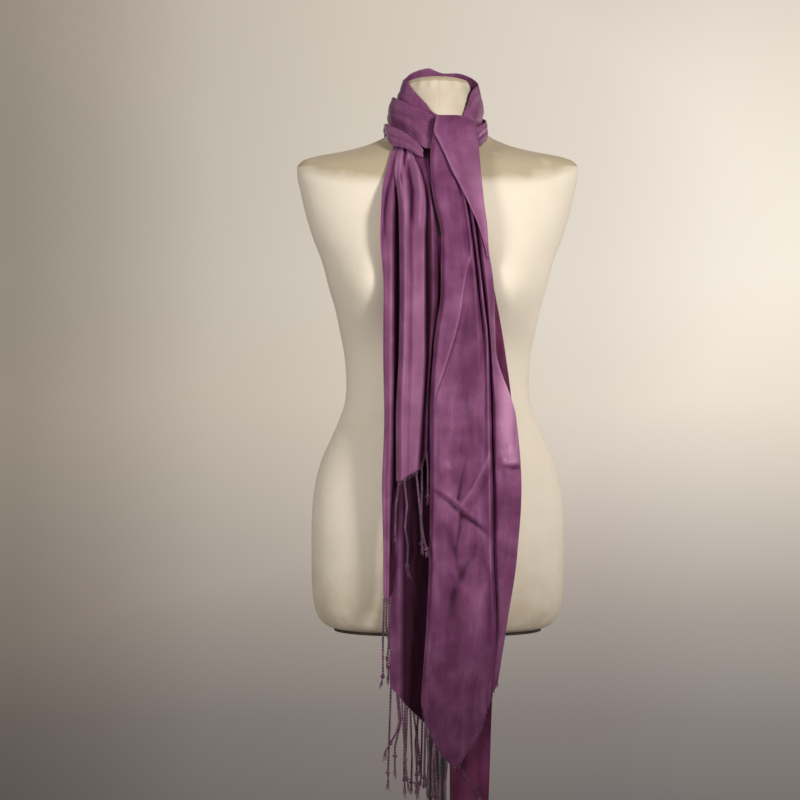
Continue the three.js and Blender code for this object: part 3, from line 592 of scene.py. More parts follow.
def twill_cloth(name, deep, mid, light, slope):
    """One lot of the twill: slope is which way its diagonal runs on this side of the cloth."""
    material, shader, tree = new_material(
        name, Roughness=0.48, Sheen_Weight=0.14, Sheen_Roughness=0.35, Sheen_Tint=shade_of("ff9fd6"),
        Specular_Tint=shade_of("ffd9ee"), Specular_IOR_Level=0.28,
    )
    lay = add_node(tree, "ShaderNodeUVMap", uv_map="cloth")
    flat = add_node(tree, "ShaderNodeVectorMath", lay, operation="SCALE", Scale=1000.0)
    mm = add_node(tree, "ShaderNodeSeparateXYZ", flat).outputs

    waver = add_node(tree, "ShaderNodeTexNoise", flat, Scale=0.03, Detail=2.0)
    tilt = add_node(tree, "ShaderNodeMath", mm["X"], slope, operation="MULTIPLY")
    line = add_node(tree, "ShaderNodeMath", mm["Y"], tilt, operation="ADD")
    waved = add_node(tree, "ShaderNodeMath", waver, 2.4, operation="MULTIPLY")
    line = add_node(tree, "ShaderNodeMath", line, waved, operation="ADD")
    ridge = add_node(tree, "ShaderNodeMath", line, 2 * math.pi / RIDGE, operation="MULTIPLY")
    ridge = add_node(tree, "ShaderNodeMath", ridge, operation="SINE")
    beat = add_node(tree, "ShaderNodeMath", mm["X"], 2 * math.pi / PICK, operation="MULTIPLY")
    beat = add_node(tree, "ShaderNodeMath", beat, operation="SINE")
    beat = add_node(tree, "ShaderNodeMath", beat, 0.3, operation="MULTIPLY")
    weave = add_node(tree, "ShaderNodeMath", ridge, beat, operation="ADD")
    weave = add_node(tree, "ShaderNodeMath", weave, 0.5, operation="MULTIPLY")
    weave = add_node(tree, "ShaderNodeMath", weave, 0.5, operation="ADD")

    streak_map = add_node(tree, "ShaderNodeMapping", flat, Scale=(0.11, 0.012, 1.0))
    streaks = add_node(tree, "ShaderNodeTexNoise", streak_map, Scale=1.0, Detail=4.0, Roughness=0.6)
    streaks = add_node(tree, "ShaderNodeMath", streaks, 0.28, operation="MULTIPLY")
    clouds = add_node(tree, "ShaderNodeTexNoise", flat, Scale=0.022, Detail=4.0)
    clouds = add_node(tree, "ShaderNodeMath", clouds, 0.72, operation="MULTIPLY")
    dye = add_node(tree, "ShaderNodeMath", streaks, clouds, operation="ADD")
    dyed = add_node(tree, "ShaderNodeValToRGB", dye, stops=[(0.38, deep), (0.5, mid), (0.62, light)])
    floats = add_node(tree, "ShaderNodeValToRGB", weave, stops=[(0.1, "a890a4"), (0.75, "ffffff")])
    woven = add_node(
        tree, "ShaderNodeMix", data_type="RGBA", blend_type="MULTIPLY", Factor=0.8, A=dyed, B=floats
    )

    # painted shade towards deep plum by the fold value, and a painted pale pink highlight where it is below
    # zero
    fold = add_node(tree, "ShaderNodeAttribute", attribute_name="fold").outputs["Fac"]
    folded = add_node(tree, "ShaderNodeMix", data_type="RGBA", Factor=fold, A=woven, B=shade_of("240317"))
    painted_highlight_share = add_node(tree, "ShaderNodeMapRange", fold, From_Min=0.0, From_Max=-1.0)
    painted_highlight_tone = add_node(tree, "ShaderNodeMix", data_type="RGBA", Factor=painted_highlight_share, A=folded, B=shade_of("cf98bd"))
    tree.links.new(shader.inputs["Base Color"], painted_highlight_tone.outputs["Result"])

    polish = add_node(tree, "ShaderNodeMapRange", weave, To_Min=0.54, To_Max=0.4)
    dull = add_node(tree, "ShaderNodeMath", fold, 0.4, operation="MULTIPLY")
    satin = add_node(tree, "ShaderNodeMath", polish, dull, operation="ADD")
    tree.links.new(shader.inputs["Roughness"], satin.outputs["Value"])
    fine = add_node(tree, "ShaderNodeBump", Strength=0.45, Distance=0.00035, Height=weave)
    soft = add_node(tree, "ShaderNodeTexNoise", flat, Scale=0.06, Detail=4.0, Roughness=0.55)
    crumple = add_node(tree, "ShaderNodeBump", Strength=0.45, Distance=0.0035, Height=soft, Normal=fine)
    tree.links.new(shader.inputs["Normal"], crumple.outputs["Normal"])
    return material


mauve_twill = twill_cloth("viscose_silk_twill_mauve", "6e3860", "834b75", "966089", -0.6)
# the lot for the back layer: its diagonal runs the other way, and its darker, redder colours are painted
# shade
mauve_reverse_shaded = twill_cloth("viscose_silk_twill_reverse_shaded", "682a52", "7d3862", "8e4874", 0.6)

# ---------------------------------------------------------------- turns round the neck
# The doubled cloth goes round the neck in two loose turns and a half, one under another.
# Each is a soft roll of gathered twill, folded at its upper edge and pleated by the pull.

# Each station of a turn is its place round the neck in degrees, the height and radius of the
# upper edge, those of the lower edge, and how far the roll swells between them.
TOP_TURN = [  # turn, top, radius, low, radius, swell
    (12, 1448, 57, 1438, 58, 1),
    (2, 1450, 56.5, 1437, 58.2, 1.5),
    (-7, 1454, 55, 1441, 57.8, 2),
    (-20, 1468, 52, 1447, 57.2, 3),
    (-43, 1487, 49.5, 1455, 57, 3),
    (-60, 1499, 47.6, 1462, 56, 3),
    (-90, 1508, 47, 1472, 57, 2),
    (-110, 1512, 49, 1466, 58, 3),
    (-122, 1516, 51, 1464, 59, 3),
    (-135, 1523, 53, 1462, 60, 4),
    (-147, 1528, 56, 1460, 60, 4),
    (-158, 1532, 58, 1456, 61, 5),
    (-169, 1534.5, 59, 1453, 62, 5),
    (-179, 1531, 60, 1452, 62, 5),
    (-189, 1527.5, 60, 1451, 62, 5),
    (-208, 1526.5, 60, 1450, 62, 5),
    (-225, 1521, 60, 1450, 62, 5),
    (-250, 1509, 58, 1448, 61, 5),
    (-270, 1500, 56, 1446, 61, 5),
    (-288, 1494, 54, 1438, 61.5, 4),
    (-300, 1486, 53, 1434, 62.2, 3),
    (-309, 1473, 54, 1430, 64, 2),
    (-320, 1455, 55.5, 1430, 66, 2),
    (-326, 1447, 57.5, 1432, 64, 1),
]
MIDDLE_TURN = [  # turn, top, radius, low, radius, swell
    (-1, 1443, 64, 1404, 79, 1),
    (-10, 1451, 63, 1403, 81, 4),
    (-18, 1457, 63, 1407, 79, 5),
    (-30, 1461, 63, 1421, 72, 5),
    (-44, 1469, 62, 1430, 68, 5),
    (-60, 1475, 61, 1436, 66, 5),
    (-80, 1482, 62, 1440, 66, 4),
    (-110, 1486, 63, 1438, 68, 6),
    (-150, 1480, 67, 1434, 72, 8),
    (-180, 1474, 70, 1432, 76, 8),
    (-215, 1466, 72, 1432, 76, 7),
    (-250, 1457, 70, 1432, 72, 3),
    (-270, 1451, 67, 1430, 68.6, 1),
    (-300, 1440, 68, 1418, 74, 2),
    (-318, 1432, 70, 1408, 77, 3),
    (-324, 1430, 70, 1410, 76, 2),
]
LOW_TURN = [  # turn, top, radius, low, radius, swell
    (-14, 1400, 87, 1391, 88, 1),
    (-18, 1407, 85, 1393, 88, 2),
    (-24, 1415, 82, 1399, 87, 3),
    (-31, 1422, 79, 1404, 87, 4),
    (-44, 1431, 76, 1409, 86, 4),
    (-60, 1438, 74, 1420, 79, 3),
    (-80, 1445, 73.5, 1431, 70, 1.5),
    (-110, 1446, 75, 1424, 75, 3),
    (-150, 1438, 82, 1412, 87, 4),
    (-180, 1434, 85, 1424, 91, 3),
    (-200, 1432, 84, 1424, 89, 2),
]

NECK_CAP = 1508
CLEAR = 0.85  # the least way from the form's surface to the middle of the cloth


def rest_on_form(surface):
    """Lifts a surface until it clears the form, as cloth does that lies on a shoulder."""
    x, y, z = surface[..., 0], surface[..., 1], surface[..., 2]
    least = 1 + CLEAR / np.hypot(x, y)
    for _ in range(240):
        z += np.where((z < NECK_CAP) & (form_share(x, y, z - CLEAR) < least), 0.25, 0)
    return surface


def turn_surface(stations, pleats, rows=30, columns=260):
    """One turn of the cloth between its two edges. A pleat is its share of the way down,
    its width, how far it stands out, how far it wanders along the turn, and how often."""
    table = np.array(stations, float)
    turn = np.linspace(table[0, 0], table[-1, 0], columns)
    top, top_r, low, low_r, swell = (curve_through(table[:, 0], table[:, k])(turn) for k in range(1, 6))
    u = np.linspace(0, 1, rows)[:, None]
    fold = 0
    for share, width, stand, wander, speed in pleats:
        centre = share + wander * np.sin(np.radians(turn) * speed + 9 * share)
        uneven = 0.75 + 0.25 * np.sin(np.radians(turn) * 2.3 + 5 * share)
        fold = fold + stand * np.exp(-(((u - centre) / width) ** 2)) * uneven
    ends = np.minimum(1, np.minimum(turn[0] - turn, turn - turn[-1]) / 14)
    at_edges = np.sin(np.pi * np.clip(u, 0.04, 0.96)) ** 0.5
    away = top_r + (low_r - top_r) * u + swell * np.sin(np.pi * u) + fold * ends * at_edges
    angle = np.radians(turn) + 0 * u
    surface = np.stack([away * np.sin(angle), -away * np.cos(angle), top + (low - top) * u], -1)
    return rest_on_form(surface)


def two_edges(count, first, last, reach):
    """The thickness across a sheet of so many points, with a fold or a hem at each long edge."""
    i = np.arange(count)
    return CLOTH + (first - CLOTH) * np.exp(-i / reach) + (last - CLOTH) * np.exp(-(count - 1 - i) / reach)


top_roll = turn_surface(TOP_TURN, [
    (0.34, 0.13, -1.6, 0.08, 1.2), (0.62, 0.11, 1.3, 0.09, 0.9), (0.84, 0.08, -1.1, 0.05, 1.7),
])
middle_roll = turn_surface(MIDDLE_TURN, [
    (0.24, 0.1, 1.2, 0.06, 1.1), (0.45, 0.08, -1.5, 0.07, 1.5),
    (0.68, 0.1, 1.4, 0.09, 0.8), (0.88, 0.06, -1.2, 0.03, 2.1),
])
low_roll = turn_surface(LOW_TURN, [
    (0.3, 0.12, 1.1, 0.05, 1.7), (0.58, 0.09, -1.3, 0.08, 1.2), (0.8, 0.08, 0.9, 0.04, 2.4),
], columns=200)


def in_front(surface):
    """Keeps the creases of a turn to its front."""
    return np.clip(-surface[..., 1] / 20, 0, 1)


press(middle_roll, [
    ([(-33, 1452), (-27, 1446), (-24, 1438)], -1.2, 2.0),
    ([(-26, 1452), (-18, 1444), (-8, 1436)], -1.4, 2.2),
    ([(-38, 1428), (-27, 1412), (-18, 1396)], -1.2, 2.4),
    ([(-44, 1444), (-30, 1438), (-14, 1430), (-6, 1426)], 1.2, 2.8),
], in_front)
press(top_roll, [
    ([(51, 1433), (57, 1436), (61, 1442)], -1.4, 2.0),
    ([(38, 1486), (40, 1470), (37, 1456)], 0.9, 2.4),
    ([(-40, 1482), (-26, 1468), (-12, 1456)], -1.0, 2.4),
], in_front)
# the third value of each is painted shade, here at or below zero: a painted highlight on the middle and low
# turns
for name, surface, shade, flat in (
    ("neck_band_top", top_roll, 0.0, (0.055, 0.38)),
    ("neck_band_middle", middle_roll, -0.03, (0.042, 0.425)),
    ("neck_loop_low", low_roll, -0.1, (0.022, 0.295)),
):
    edges = two_edges(len(surface), 2.2, 1.8, 3.0)[:, None]
    roll = lay_sheet(name + "_roll", surface, mauve_twill, edges, shade=shade)
    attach(roll, "root")
    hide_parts(name)

# ---------------------------------------------------------------- flap over the roll
# The end that comes over the front of the roll folds down over itself. It lies smooth and
# catches the most light, with its right edge turned back and its point pulled to the side.

# Each station down the flap is its height and how far forward it lies, its left and right
# edges, and how far its right edge is turned back and down.
FLAP = [  # height, forward, left, right, back, down
    (1437, -58.5, 11, 44, 9, 1),
    (1444, -62, 3, 47, 9, 4),
    (1448.5, -70, 0, 49, 9, 8),
    (1447, -80, -2, 50, 10, 8),
    (1438, -88, -4, 50.6, 11, 5),
    (1425, -93, -6.2, 51, 11, 3),
    (1410, -98, 0, 52.4, 10.5, 1),
    (1390, -105, 9, 53.6, 8, 0),
    (1370, -113, 17.1, 54.6, 5, 0),
    (1345, -120.9, 29.4, 56.4, 3, 0),
    (1320, -129.6, 40.5, 58.6, 2, 0),
    (1295, -137.8, 51, 61.4, 1, 0),
    (1270, -144.8, 58.3, 62.6, 0, 0),
    (1250, -149.6, 62.6, 64.4, 0, 0),
]

FLAP_ROWS, FLAP_COLUMNS = 170, 44
DOWN_FROM = 1450  # the height from which the weave is measured down the flap and the tails


def blend(value, start, stop):
    """Rises from 0 where a value is at its start to 1 where it is at its stop."""
    return np.clip((value - start) / (stop - start), 0, 1)


table = np.array(FLAP, float)
step = np.arange(len(FLAP)) / (len(FLAP) - 1)
v = np.linspace(0, 1, FLAP_ROWS)
z, y, left, right, back, fall = (curve_through(step, table[:, k])(v)[:, None] for k in range(6))
u = np.linspace(0, 1, FLAP_COLUMNS)
turned = np.maximum(0, u - 0.45) ** 2 * 3.3
wave = 0.9 * np.sin(np.pi * u) * np.sin(v[:, None] * 9 + 2 * u) * np.clip(v[:, None] * 3 - 0.9, 0, 1)
flap = np.stack([left + (right - left) * u, y + back * turned - wave, z - fall * turned], -1)


def below_roll(surface):
    """Keeps the creases of the flap to where it hangs in front of the roll."""
    return np.clip((-surface[..., 1] - 62) / 14, 0, 1)


press(flap, [
    ([(18, 1440), (24, 1410), (32, 1370), (44, 1320)], 1.1, 5.0),
    ([(34, 1444), (38, 1410), (44, 1370), (50, 1320), (56, 1280)], -1.0, 4.5),
    ([(8, 1446), (14, 1420), (22, 1392)], -0.7, 4.0),
], below_roll)
# painted highlight, strongest at the flap's right side below its roll, and along its left edge
flap_shade = -0.3 * u * blend(flap[..., 2], 1420, 1340) - 0.25 * np.exp(-np.arange(FLAP_COLUMNS) / 2.5)
edges = two_edges(FLAP_COLUMNS, 1.8, 2.2, 2.0)
over_flap = lay_sheet("right_flap_fold", flap, mauve_twill, edges, DOWN_FROM - flap[..., 2], flap_shade)
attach(over_flap, "root")
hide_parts("right_flap")

# ---------------------------------------------------------------- hanging tails
# Both ends hang down the front in deep folds. The long one at the right ends in a slanted
# edge with its back layer showing at the right; the short one at the left hangs in
# narrow pleats from under the low loop, with a side layer that hangs lower.

# How far in front of the form's axis each tail hangs: height, the long one, the short one.
HANG = [  # height, long, short
    (1450, 78, 60),
    (1430, 86, 62),
    (1412, 91, 66),
    (1400, 95, 72),
    (1388, 99, 80),
    (1370, 105, 94),
    (1350, 113, 106),
    (1300, 130, 129),
    (1250, 145, 146),
    (1200, 153, 154),
    (1150, 156, 156),
    (1000, 156, 156),
    (800, 154, 153),
    (600, 151, 150),
    (450, 150, 149),
]

# A panel's sections give the place across of each of its folds at a height, and its relief
# how far each stands out from the hanging line. Its ends are the heights at which its folds
# are cut, start is its upper end, clear its least way from the form, and rise how far its
# start stands out.
LONG_FRONT = {  # edge, roll, ridge, hollow, bulge, first valley, fin, second valley, strip, right, back
    "sections": [
        (1430, -6, -1, 14, 22, 28, 32, 36.5, 41, 46, 50, 47),
        (1390, -11, -6, 15, 23.5, 28.5, 32.5, 37, 41.5, 46.5, 51, 48),
        (1340, -8.3, -3, 22, 28.5, 32.5, 36.5, 40.5, 45, 49, 55, 52),
        (1280, 2.7, 8, 29, 35, 39.5, 43.5, 46.5, 50, 54, 61.3, 58),
        (1210, 2, 7.5, 30, 39, 46, 50.7, 54, 57.5, 61.5, 70.5, 67),
        (1130, -7.4, -2, 13.3, 29, 49, 58, 61.5, 65, 67.5, 73, 69),
        (1040, -12.5, -7, 2, 20, 47, 57, 62.5, 68.4, 73, 99.5, 94),
        (950, -12.2, -7, 3, 22, 47, 57, 64.2, 69.5, 75, 106, 100),
        (860, -13.3, -8, 3, 24, 50, 59, 65.5, 70.5, 78, 100.2, 95),
        (770, -17.2, -12, 1.5, 24, 50, 61, 69, 74, 79.5, 87, 83),
        (680, -23.9, -18, 0, 20, 40, 53.6, 63, 67, 70, 73, 69),
    ],
    "relief": [
        (1430, -2, 1, 1.5, 0, 1, -2, 0.5, -2.5, 1, -1, -5.4),
        (1340, -5, 1, 2.5, -1, 3, -8, 2, -9, 3, -3, -9.4),
        (1250, -6, 1, 4, -1, 4, -10, 3, -11, 3, -4, -11),
        (1150, -7, 0, 3, -1, 4, -5, 4, -11, 3, -5, -11),
        (1090, -7, 2, 2, 0, 3, 1, 5, -7, 5, -3, -11),
        (1030, -7, 3, 2, 0, 2, 2, 5, -5, 6, -4, -11),
        (995, -6, 3, 2, 0, 1, 2, 5, -6, 4, -3, -9),
        (950, -6, 3, 2, 0, 1, 2, 5, -9, -3, 1, -8),
        (860, -5, 2, 1, -1, 1, 2, 4, -7, -2, 1, -8),
        (770, -5, 0, 2, -1, 2, 0, 3, -3, 0, 0, -6),
        (680, -4, 0, 1, 0, 1, 1, 0, 0, 0, -1, -4),
    ],
    "ends": [664, 642, 604, 586, 611, 636, 664, 676, 686, 694, 698],
    "start": 1430, "clear": 7, "rise": 0, "tail": "long",
}

LONG_BACK = {  # inner, first, second, third, edge, back
    "sections": [
        (1280, -1, 12, 26, 41, 57, 54),
        (1210, -2, 15, 34, 54, 71.6, 68),
        (1130, -2, 18, 40, 64, 85.5, 81),
        (1040, -2, 20, 46, 74, 96.5, 92),
        (950, -2, 22, 48, 78, 101.5, 97),
        (860, -2, 20, 46, 74, 97, 92),
        (770, -3, 18, 40, 64, 83.5, 79),
        (680, 5, 18, 34, 54, 69.6, 65),
        (600, 13.5, 24, 37, 53, 66.5, 62),
        (500, 14, 24, 36, 51, 63, 59),
    ],
    "relief": [
        (1280, -18, -21, -18, -21, -18, -24),
        (1040, -18, -21, -17, -21, -18, -24),
        (700, -18, -21, -16, -22, -18, -23),
        (560, -18, -21, -16, -21, -17, -22),
    ],
    "ends": [532, 527, 521, 514, 503, 505],
    "start": 1280, "clear": 3, "rise": 6.1, "tail": "long",
}

LONG_UNDER = {  # back, edge, roll, fall, deep, inner
    "sections": [
        (1180, -46, -49.5, -45, -38, -24, -8),
        (1040, -48, -52.7, -47, -39, -25, -9),
        (950, -50, -55.3, -49, -41, -27, -10),
        (860, -55, -61, -53, -43, -28, -11),
        (770, -59, -65, -56, -46, -31, -14),
        (600, -59, -65.2, -56, -47, -33, -17),
    ],
    "relief": [
        (1180, -32, -26, -22, -28, -34, -36),
        (950, -32, -26, -22, -28, -34, -36),
        (650, -31, -26, -22, -27, -32, -34),
    ],
    "ends": [690, 687, 677, 664, 649, 634],
    "start": 1180, "clear": 3, "rise": 4.3, "tail": "short",
}

SHORT_FRONT = {  # edge, ridge, valley, crest, gully, deep, inner
    "sections": [
        (1412, -51, -46, -42, -37, -33, -24, -15),
        (1390, -57.5, -50, -43, -34, -31, -22, -13.5),
        (1372, -59, -50.5, -41, -27, -23.5, -18, -12),
        (1350, -56.5, -48.5, -38, -21.8, -18.5, -14, -10),
        (1318, -53.5, -46, -36.5, -19.5, -16.3, -10.5, -6),
        (1280, -52.7, -45.5, -37, -21.5, -17.8, -9.5, -2),
        (1210, -52, -45, -36.2, -21.5, -17.5, -9.5, -2),
        (1130, -53, -46, -37.3, -21.5, -17.5, -13, -9),
        (1040, -57, -49, -39.7, -26, -22, -17.5, -13.5),
        (950, -56.7, -49, -41.7, -33, -27, -20, -14),
    ],
    "relief": [
        (1412, -3, 1.7, -2, 1.7, -5, -4, -8.8),
        (1380, -4, 3, -1.5, 3.5, -7, -4.5, -10.5),
        (1350, -5.5, 4, -1.5, 5, -9, -5, -12),
        (1318, -6.5, 4.5, -1.5, 5, -10, -6, -13),
        (1280, -7, 5, -1, 5, -12.5, -9, -14),
        (1130, -7, 5, 0.5, 5, -12.5, -9, -14),
        (950, -7, 4, 1, 5, -12, -9, -14),
    ],
    "ends": [958, 960, 966, 971, 978, 992, 1000],
    "start": 1412, "clear": 9, "rise": 0, "tail": "short",
}

SHORT_SIDE = {  # inner, tuck, ridge, valley, edge, turn, back
    "sections": [
        (1412, -44, -50, -54.5, -57.5, -60.5, -58, -50),
        (1390, -43, -54.5, -59.5, -62.8, -66, -63, -52),
        (1340, -42, -55.6, -62.5, -70, -76, -73, -58),
        (1280, -40, -56.5, -64, -73, -77.6, -74, -58),
        (1210, -39, -56.5, -63.5, -70.5, -73.4, -69, -54),
        (1130, -41, -56.5, -64, -71, -73.9, -69, -54),
        (1040, -44, -58, -64.5, -70, -72.5, -68, -54),
        (950, -50, -60, -66.5, -72, -75.3, -71, -57),
        (860, -60, -64, -67.5, -71, -73.6, -70, -62),
        (790, -62, -65.2, -68, -71, -73.6, -71, -65),
    ],
    "relief": [
        (1412, -11, -10, -2, -3.5, -1, -4, -12),
        (1375, -13, -12.5, -5, -5, -1.5, -7, -14),
        (1350, -15, -14, -4, -6, -2.2, -9, -16),
        (1318, -16, -14.5, -3, -6, -2.6, -11, -18),
        (1280, -17, -14.8, -2.5, -6.5, -3, -12, -19),
        (1040, -17, -14.8, -2, -6, -3, -12, -19),
        (950, -17, -12, -2, -5, -3, -12, -19),
        (850, -16, -8, -2.5, -5, -3, -12, -18),
    ],
    "ends": [812, 806, 803, 805, 808, 806, 796],
    "start": 1412, "clear": 5.5, "rise": 0, "tail": "short",
}

hanging_line = {
    tail: curve_through([row[0] for row in HANG], [row[k] for row in HANG])
    for k, tail in ((1, "long"), (2, "short"))
}
chest_round = curve_through([1320, 1410], [0, 1])
CHEST_ACROSS = 280  # how wide the round of the chest is that draws a tail back at its sides
RISE_OVER = 60  # the height over which a panel's rise fades
EASE = 1.5  # how softly the cloth leaves the form


def fold_table(rows, z, u):
    """Values given at each fold line and height, carried smoothly to every point."""
    rows = np.array(rows, float)
    folds = [curve_through(rows[:, 0], rows[:, k]) for k in range(1, rows.shape[1])]
    keys = np.arange(len(folds)) / (len(folds) - 1)
    carried = []
    for i, share in enumerate(u):
        at_height = np.stack([fold(z[:, i]) for fold in folds])
        carried.append(curve_through(keys, at_height)(share))
    return np.stack(carried, -1)


def panel_surface(panel, rows, columns):
    """The middle surface of one panel of a tail, in millimetres."""
    keys = np.arange(len(panel["ends"])) / (len(panel["ends"]) - 1)
    u = np.linspace(0, 1, columns)
    end = curve_through(keys, panel["ends"])(u)
    z = panel["start"] + (end - panel["start"]) * np.linspace(0, 1, rows)[:, None]
    x = fold_table(panel["sections"], z, u)
    relief = fold_table(panel["relief"], z, u)
    drawn_back = x * x * chest_round(z) / CHEST_ACROSS
    near = panel["rise"] * np.maximum(0, 1 - (panel["start"] - z) / RISE_OVER)
    free = hanging_line[panel["tail"]](z) + relief + near - drawn_back
    least = form_reach(x, z) + panel["clear"]
    y = (free + least + np.sqrt((free - least) ** 2 + EASE)) / 2
    return np.stack([x, -y, z], -1)


front_panel = rumple(panel_surface(LONG_FRONT, 236, 204), 11, 0.5, 58)
back_panel = rumple(panel_surface(LONG_BACK, 200, 100), 12, 0.6, 40)
under_panel = rumple(panel_surface(LONG_UNDER, 150, 80), 13, 0.6, 40)
short_panel = rumple(panel_surface(SHORT_FRONT, 150, 150), 14, 0.35, 44)
side_panel = rumple(panel_surface(SHORT_SIDE, 200, 110), 15, 0.35, 44)

# the edge of the front's left fold, which crosses it and runs out at its left side, and
# the edge of its right fold
LEFT_FOLD_EDGE = [(49, 1300), (40.7, 1256), (32.8, 1221), (25, 1171), (8, 1111), (-7, 1066), (-12, 1040)]
RIGHT_FOLD_EDGE = [
    (52, 1270), (56.3, 1188), (61.6, 1154), (62.9, 1104), (65, 988),
    (65.5, 889), (68, 820), (71.5, 750), (72, 700),
]
# the press creases that cross the front low down, from when the shawl lay folded, and the
# softer waves that they draw with them
PRESS_CREASES = [
    ([
        (-8.4, 945), (4, 936), (13.2, 930.7), (22.4, 922.9),
        (27.6, 916.4), (39.4, 907.2), (49.8, 899.4), (65.5, 886.3),
    ], -4.4, 2.8),
    ([(-6.4, 951), (8, 941), (22.4, 931), (36, 917), (56, 903)], 2.6, 4.6),
    ([(63, 992), (52.4, 968), (43, 947), (30.2, 929.4), (22, 917)], 5.4, 4.0),
    ([(67, 975), (57, 955), (49, 937), (36, 920)], -3.4, 3.6),
    ([(5.4, 984.3), (17.1, 971.2)], 1.8, 2.6),
    ([(32.8, 985.6), (22.4, 926.8)], -2.2, 3.4),
    ([(27.6, 918), (26, 895), (21, 868)], -2.8, 3.2),
    ([(77.3, 992.1), (85.1, 946.4)], -1.2, 3.0),
    ([(58, 1000), (40, 988), (20, 994), (0, 1006)], -1.4, 6.0),
    ([(-4, 905), (10, 890), (20, 868), (24, 840)], -2.2, 6.0),
    ([(8, 850), (30, 820), (48, 780)], 2.4, 8.0),
    ([(52, 880), (34, 850), (18, 812), (12, 780)], -2.6, 8.0),
    ([(60, 850), (52, 800), (50, 740)], 1.8, 6.0),
    ([(-10, 860), (-14, 800), (-10, 740)], -1.8, 6.0),
    ([(2, 1090), (0, 1040), (8, 960)], 1.2, 8.0),
    ([(30, 1120), (34, 1060), (42, 1000)], -1.6, 8.0),
]
# and those at its right side, which go through to the layer behind it
SIDE_CREASES = [
    ([(82, 984), (93, 982), (104, 983)], 3.0, 2.6),
    ([(82, 976), (93, 974.5), (106, 976)], -5.4, 2.2),
    ([(87, 1008), (85.5, 996), (87, 984)], -2.4, 1.7),
    ([(97, 1030), (98.5, 1016), (99.5, 1002)], -1.4, 1.6),
    ([(70, 1010), (82, 1000), (96, 1004)], -0.8, 4.0),
]
fold_over(front_panel, LEFT_FOLD_EDGE, 4.2, 9)
fold_over(front_panel, RIGHT_FOLD_EDGE, 3.2, 14, 1.8)
pressed = press(front_panel, PRESS_CREASES + SIDE_CREASES)
press(back_panel, SIDE_CREASES)
side_drawn = press(side_panel, [
    ([(-64, 1139), (-57, 1145)], 1.8, 2.6),
    ([(-60, 1392), (-62, 1381), (-64, 1365), (-68.7, 1343), (-72, 1315), (-72.5, 1280)], -3.4, 1.8),
])
# the gathers of the short tail, where the loop draws it together
drawn = press(short_panel, [
    ([(-43, 1410), (-45.5, 1396), (-46.7, 1386), (-46, 1378)], -5.0, 1.7),
    ([(-40, 1410), (-40.5, 1396), (-43.5, 1386)], 2.6, 1.6),
    ([(-47.5, 1408), (-52, 1388), (-53, 1362), (-50, 1330)], 2.4, 2.2),
    ([(-53, 1374), (-51.5, 1364), (-50, 1352)], -2.8, 1.6),
    ([(-44, 1392), (-41.4, 1385), (-38.8, 1364), (-34.8, 1343), (-36, 1300)], -2.6, 2.4),
    ([(-47, 1370), (-45, 1340), (-43, 1290)], 1.6, 2.6),
    ([(-38, 1404), (-32, 1384), (-28, 1364), (-25.5, 1335), (-27, 1290)], 2.2, 2.4),
    ([(-33, 1396), (-25.4, 1378), (-20.2, 1354), (-16.3, 1329), (-17.8, 1301)], -2.4, 1.6),
    ([(-12, 1330), (-10, 1300), (-9, 1260)], 2.2, 2.0),
])

# How much painted shade each panel gets beyond its own folds: towards its low end, in its
# valleys and along its creases. Below zero it is a painted highlight.
x, z = front_panel[..., 0], front_panel[..., 2]
share = np.linspace(0, 1, front_panel.shape[1])
# painted shade along the right fold, low down
by_fold = np.clip(1 - np.abs(share - 0.72) / 0.05, 0, 1) * blend(z, 1000, 940)
# painted highlight where the satin at the right catches the lamp
lit = np.exp(-(((x - 88) / 11) ** 2)) * blend(z, 1135, 1085) * blend(z, 968, 998)
# painted highlight along the right rim
right_rim = blend(share, 0.86, 0.91) * blend(z, 740, 820)
# painted highlights along the edges of the two folds
edge_lit = 0
for line in (LEFT_FOLD_EDGE, RIGHT_FOLD_EDGE):
    across, up = np.array(line, float).T
    off = x - curve_through(up, across)(z) + 0.8
    length = blend(z, up[-1], up[-1] + 60) * blend(z, up[0], up[0] - 60)
    edge_lit = edge_lit + np.exp(-((off / 1.5) ** 2)) * length
# painted shade low down, and painted shade in the creases' hollows with painted highlight on their ridges
front_shade = 0.1 + 0.42 * blend(z, 880, 640) + 0.45 * by_fold
front_shade += -0.75 * lit - 0.2 * right_rim - 0.22 * edge_lit + np.clip(-0.1 * pressed, -0.2, 0.5)

z = back_panel[..., 2]
# painted shade growing towards the back layer's low end
back_shade = 0.12 + 0.2 * blend(z, 900, 640) + 0.22 * blend(z, 600, 520)

# painted shade where the under layer lies in the front's shadow, deepest at its right
under_shade = 0.15 + 0.8 * blend(under_panel[..., 0], -53, -47)

share = np.linspace(0, 1, short_panel.shape[1])
low_down = np.maximum(blend(short_panel[..., 2], 1400, 1270), 0.35)
# painted shade in the short tail's gully and in the gathers' hollows, painted highlight elsewhere
gully = blend(share, 0.56, 0.62) * (0.97 - 0.4 * np.exp(-(((share - 0.86) / 0.06) ** 2)))
short_shade = gully * low_down - 0.13 + np.clip(-0.13 * drawn, -0.16, 0.6)

share = np.linspace(0, 1, side_panel.shape[1])
# painted shade in the side layer's valley, and a painted highlight elsewhere
side_shade = 0.95 * blend(share, 0.29, 0.22) - 0.1 + np.clip(-0.16 * side_drawn, -0.1, 0.6)

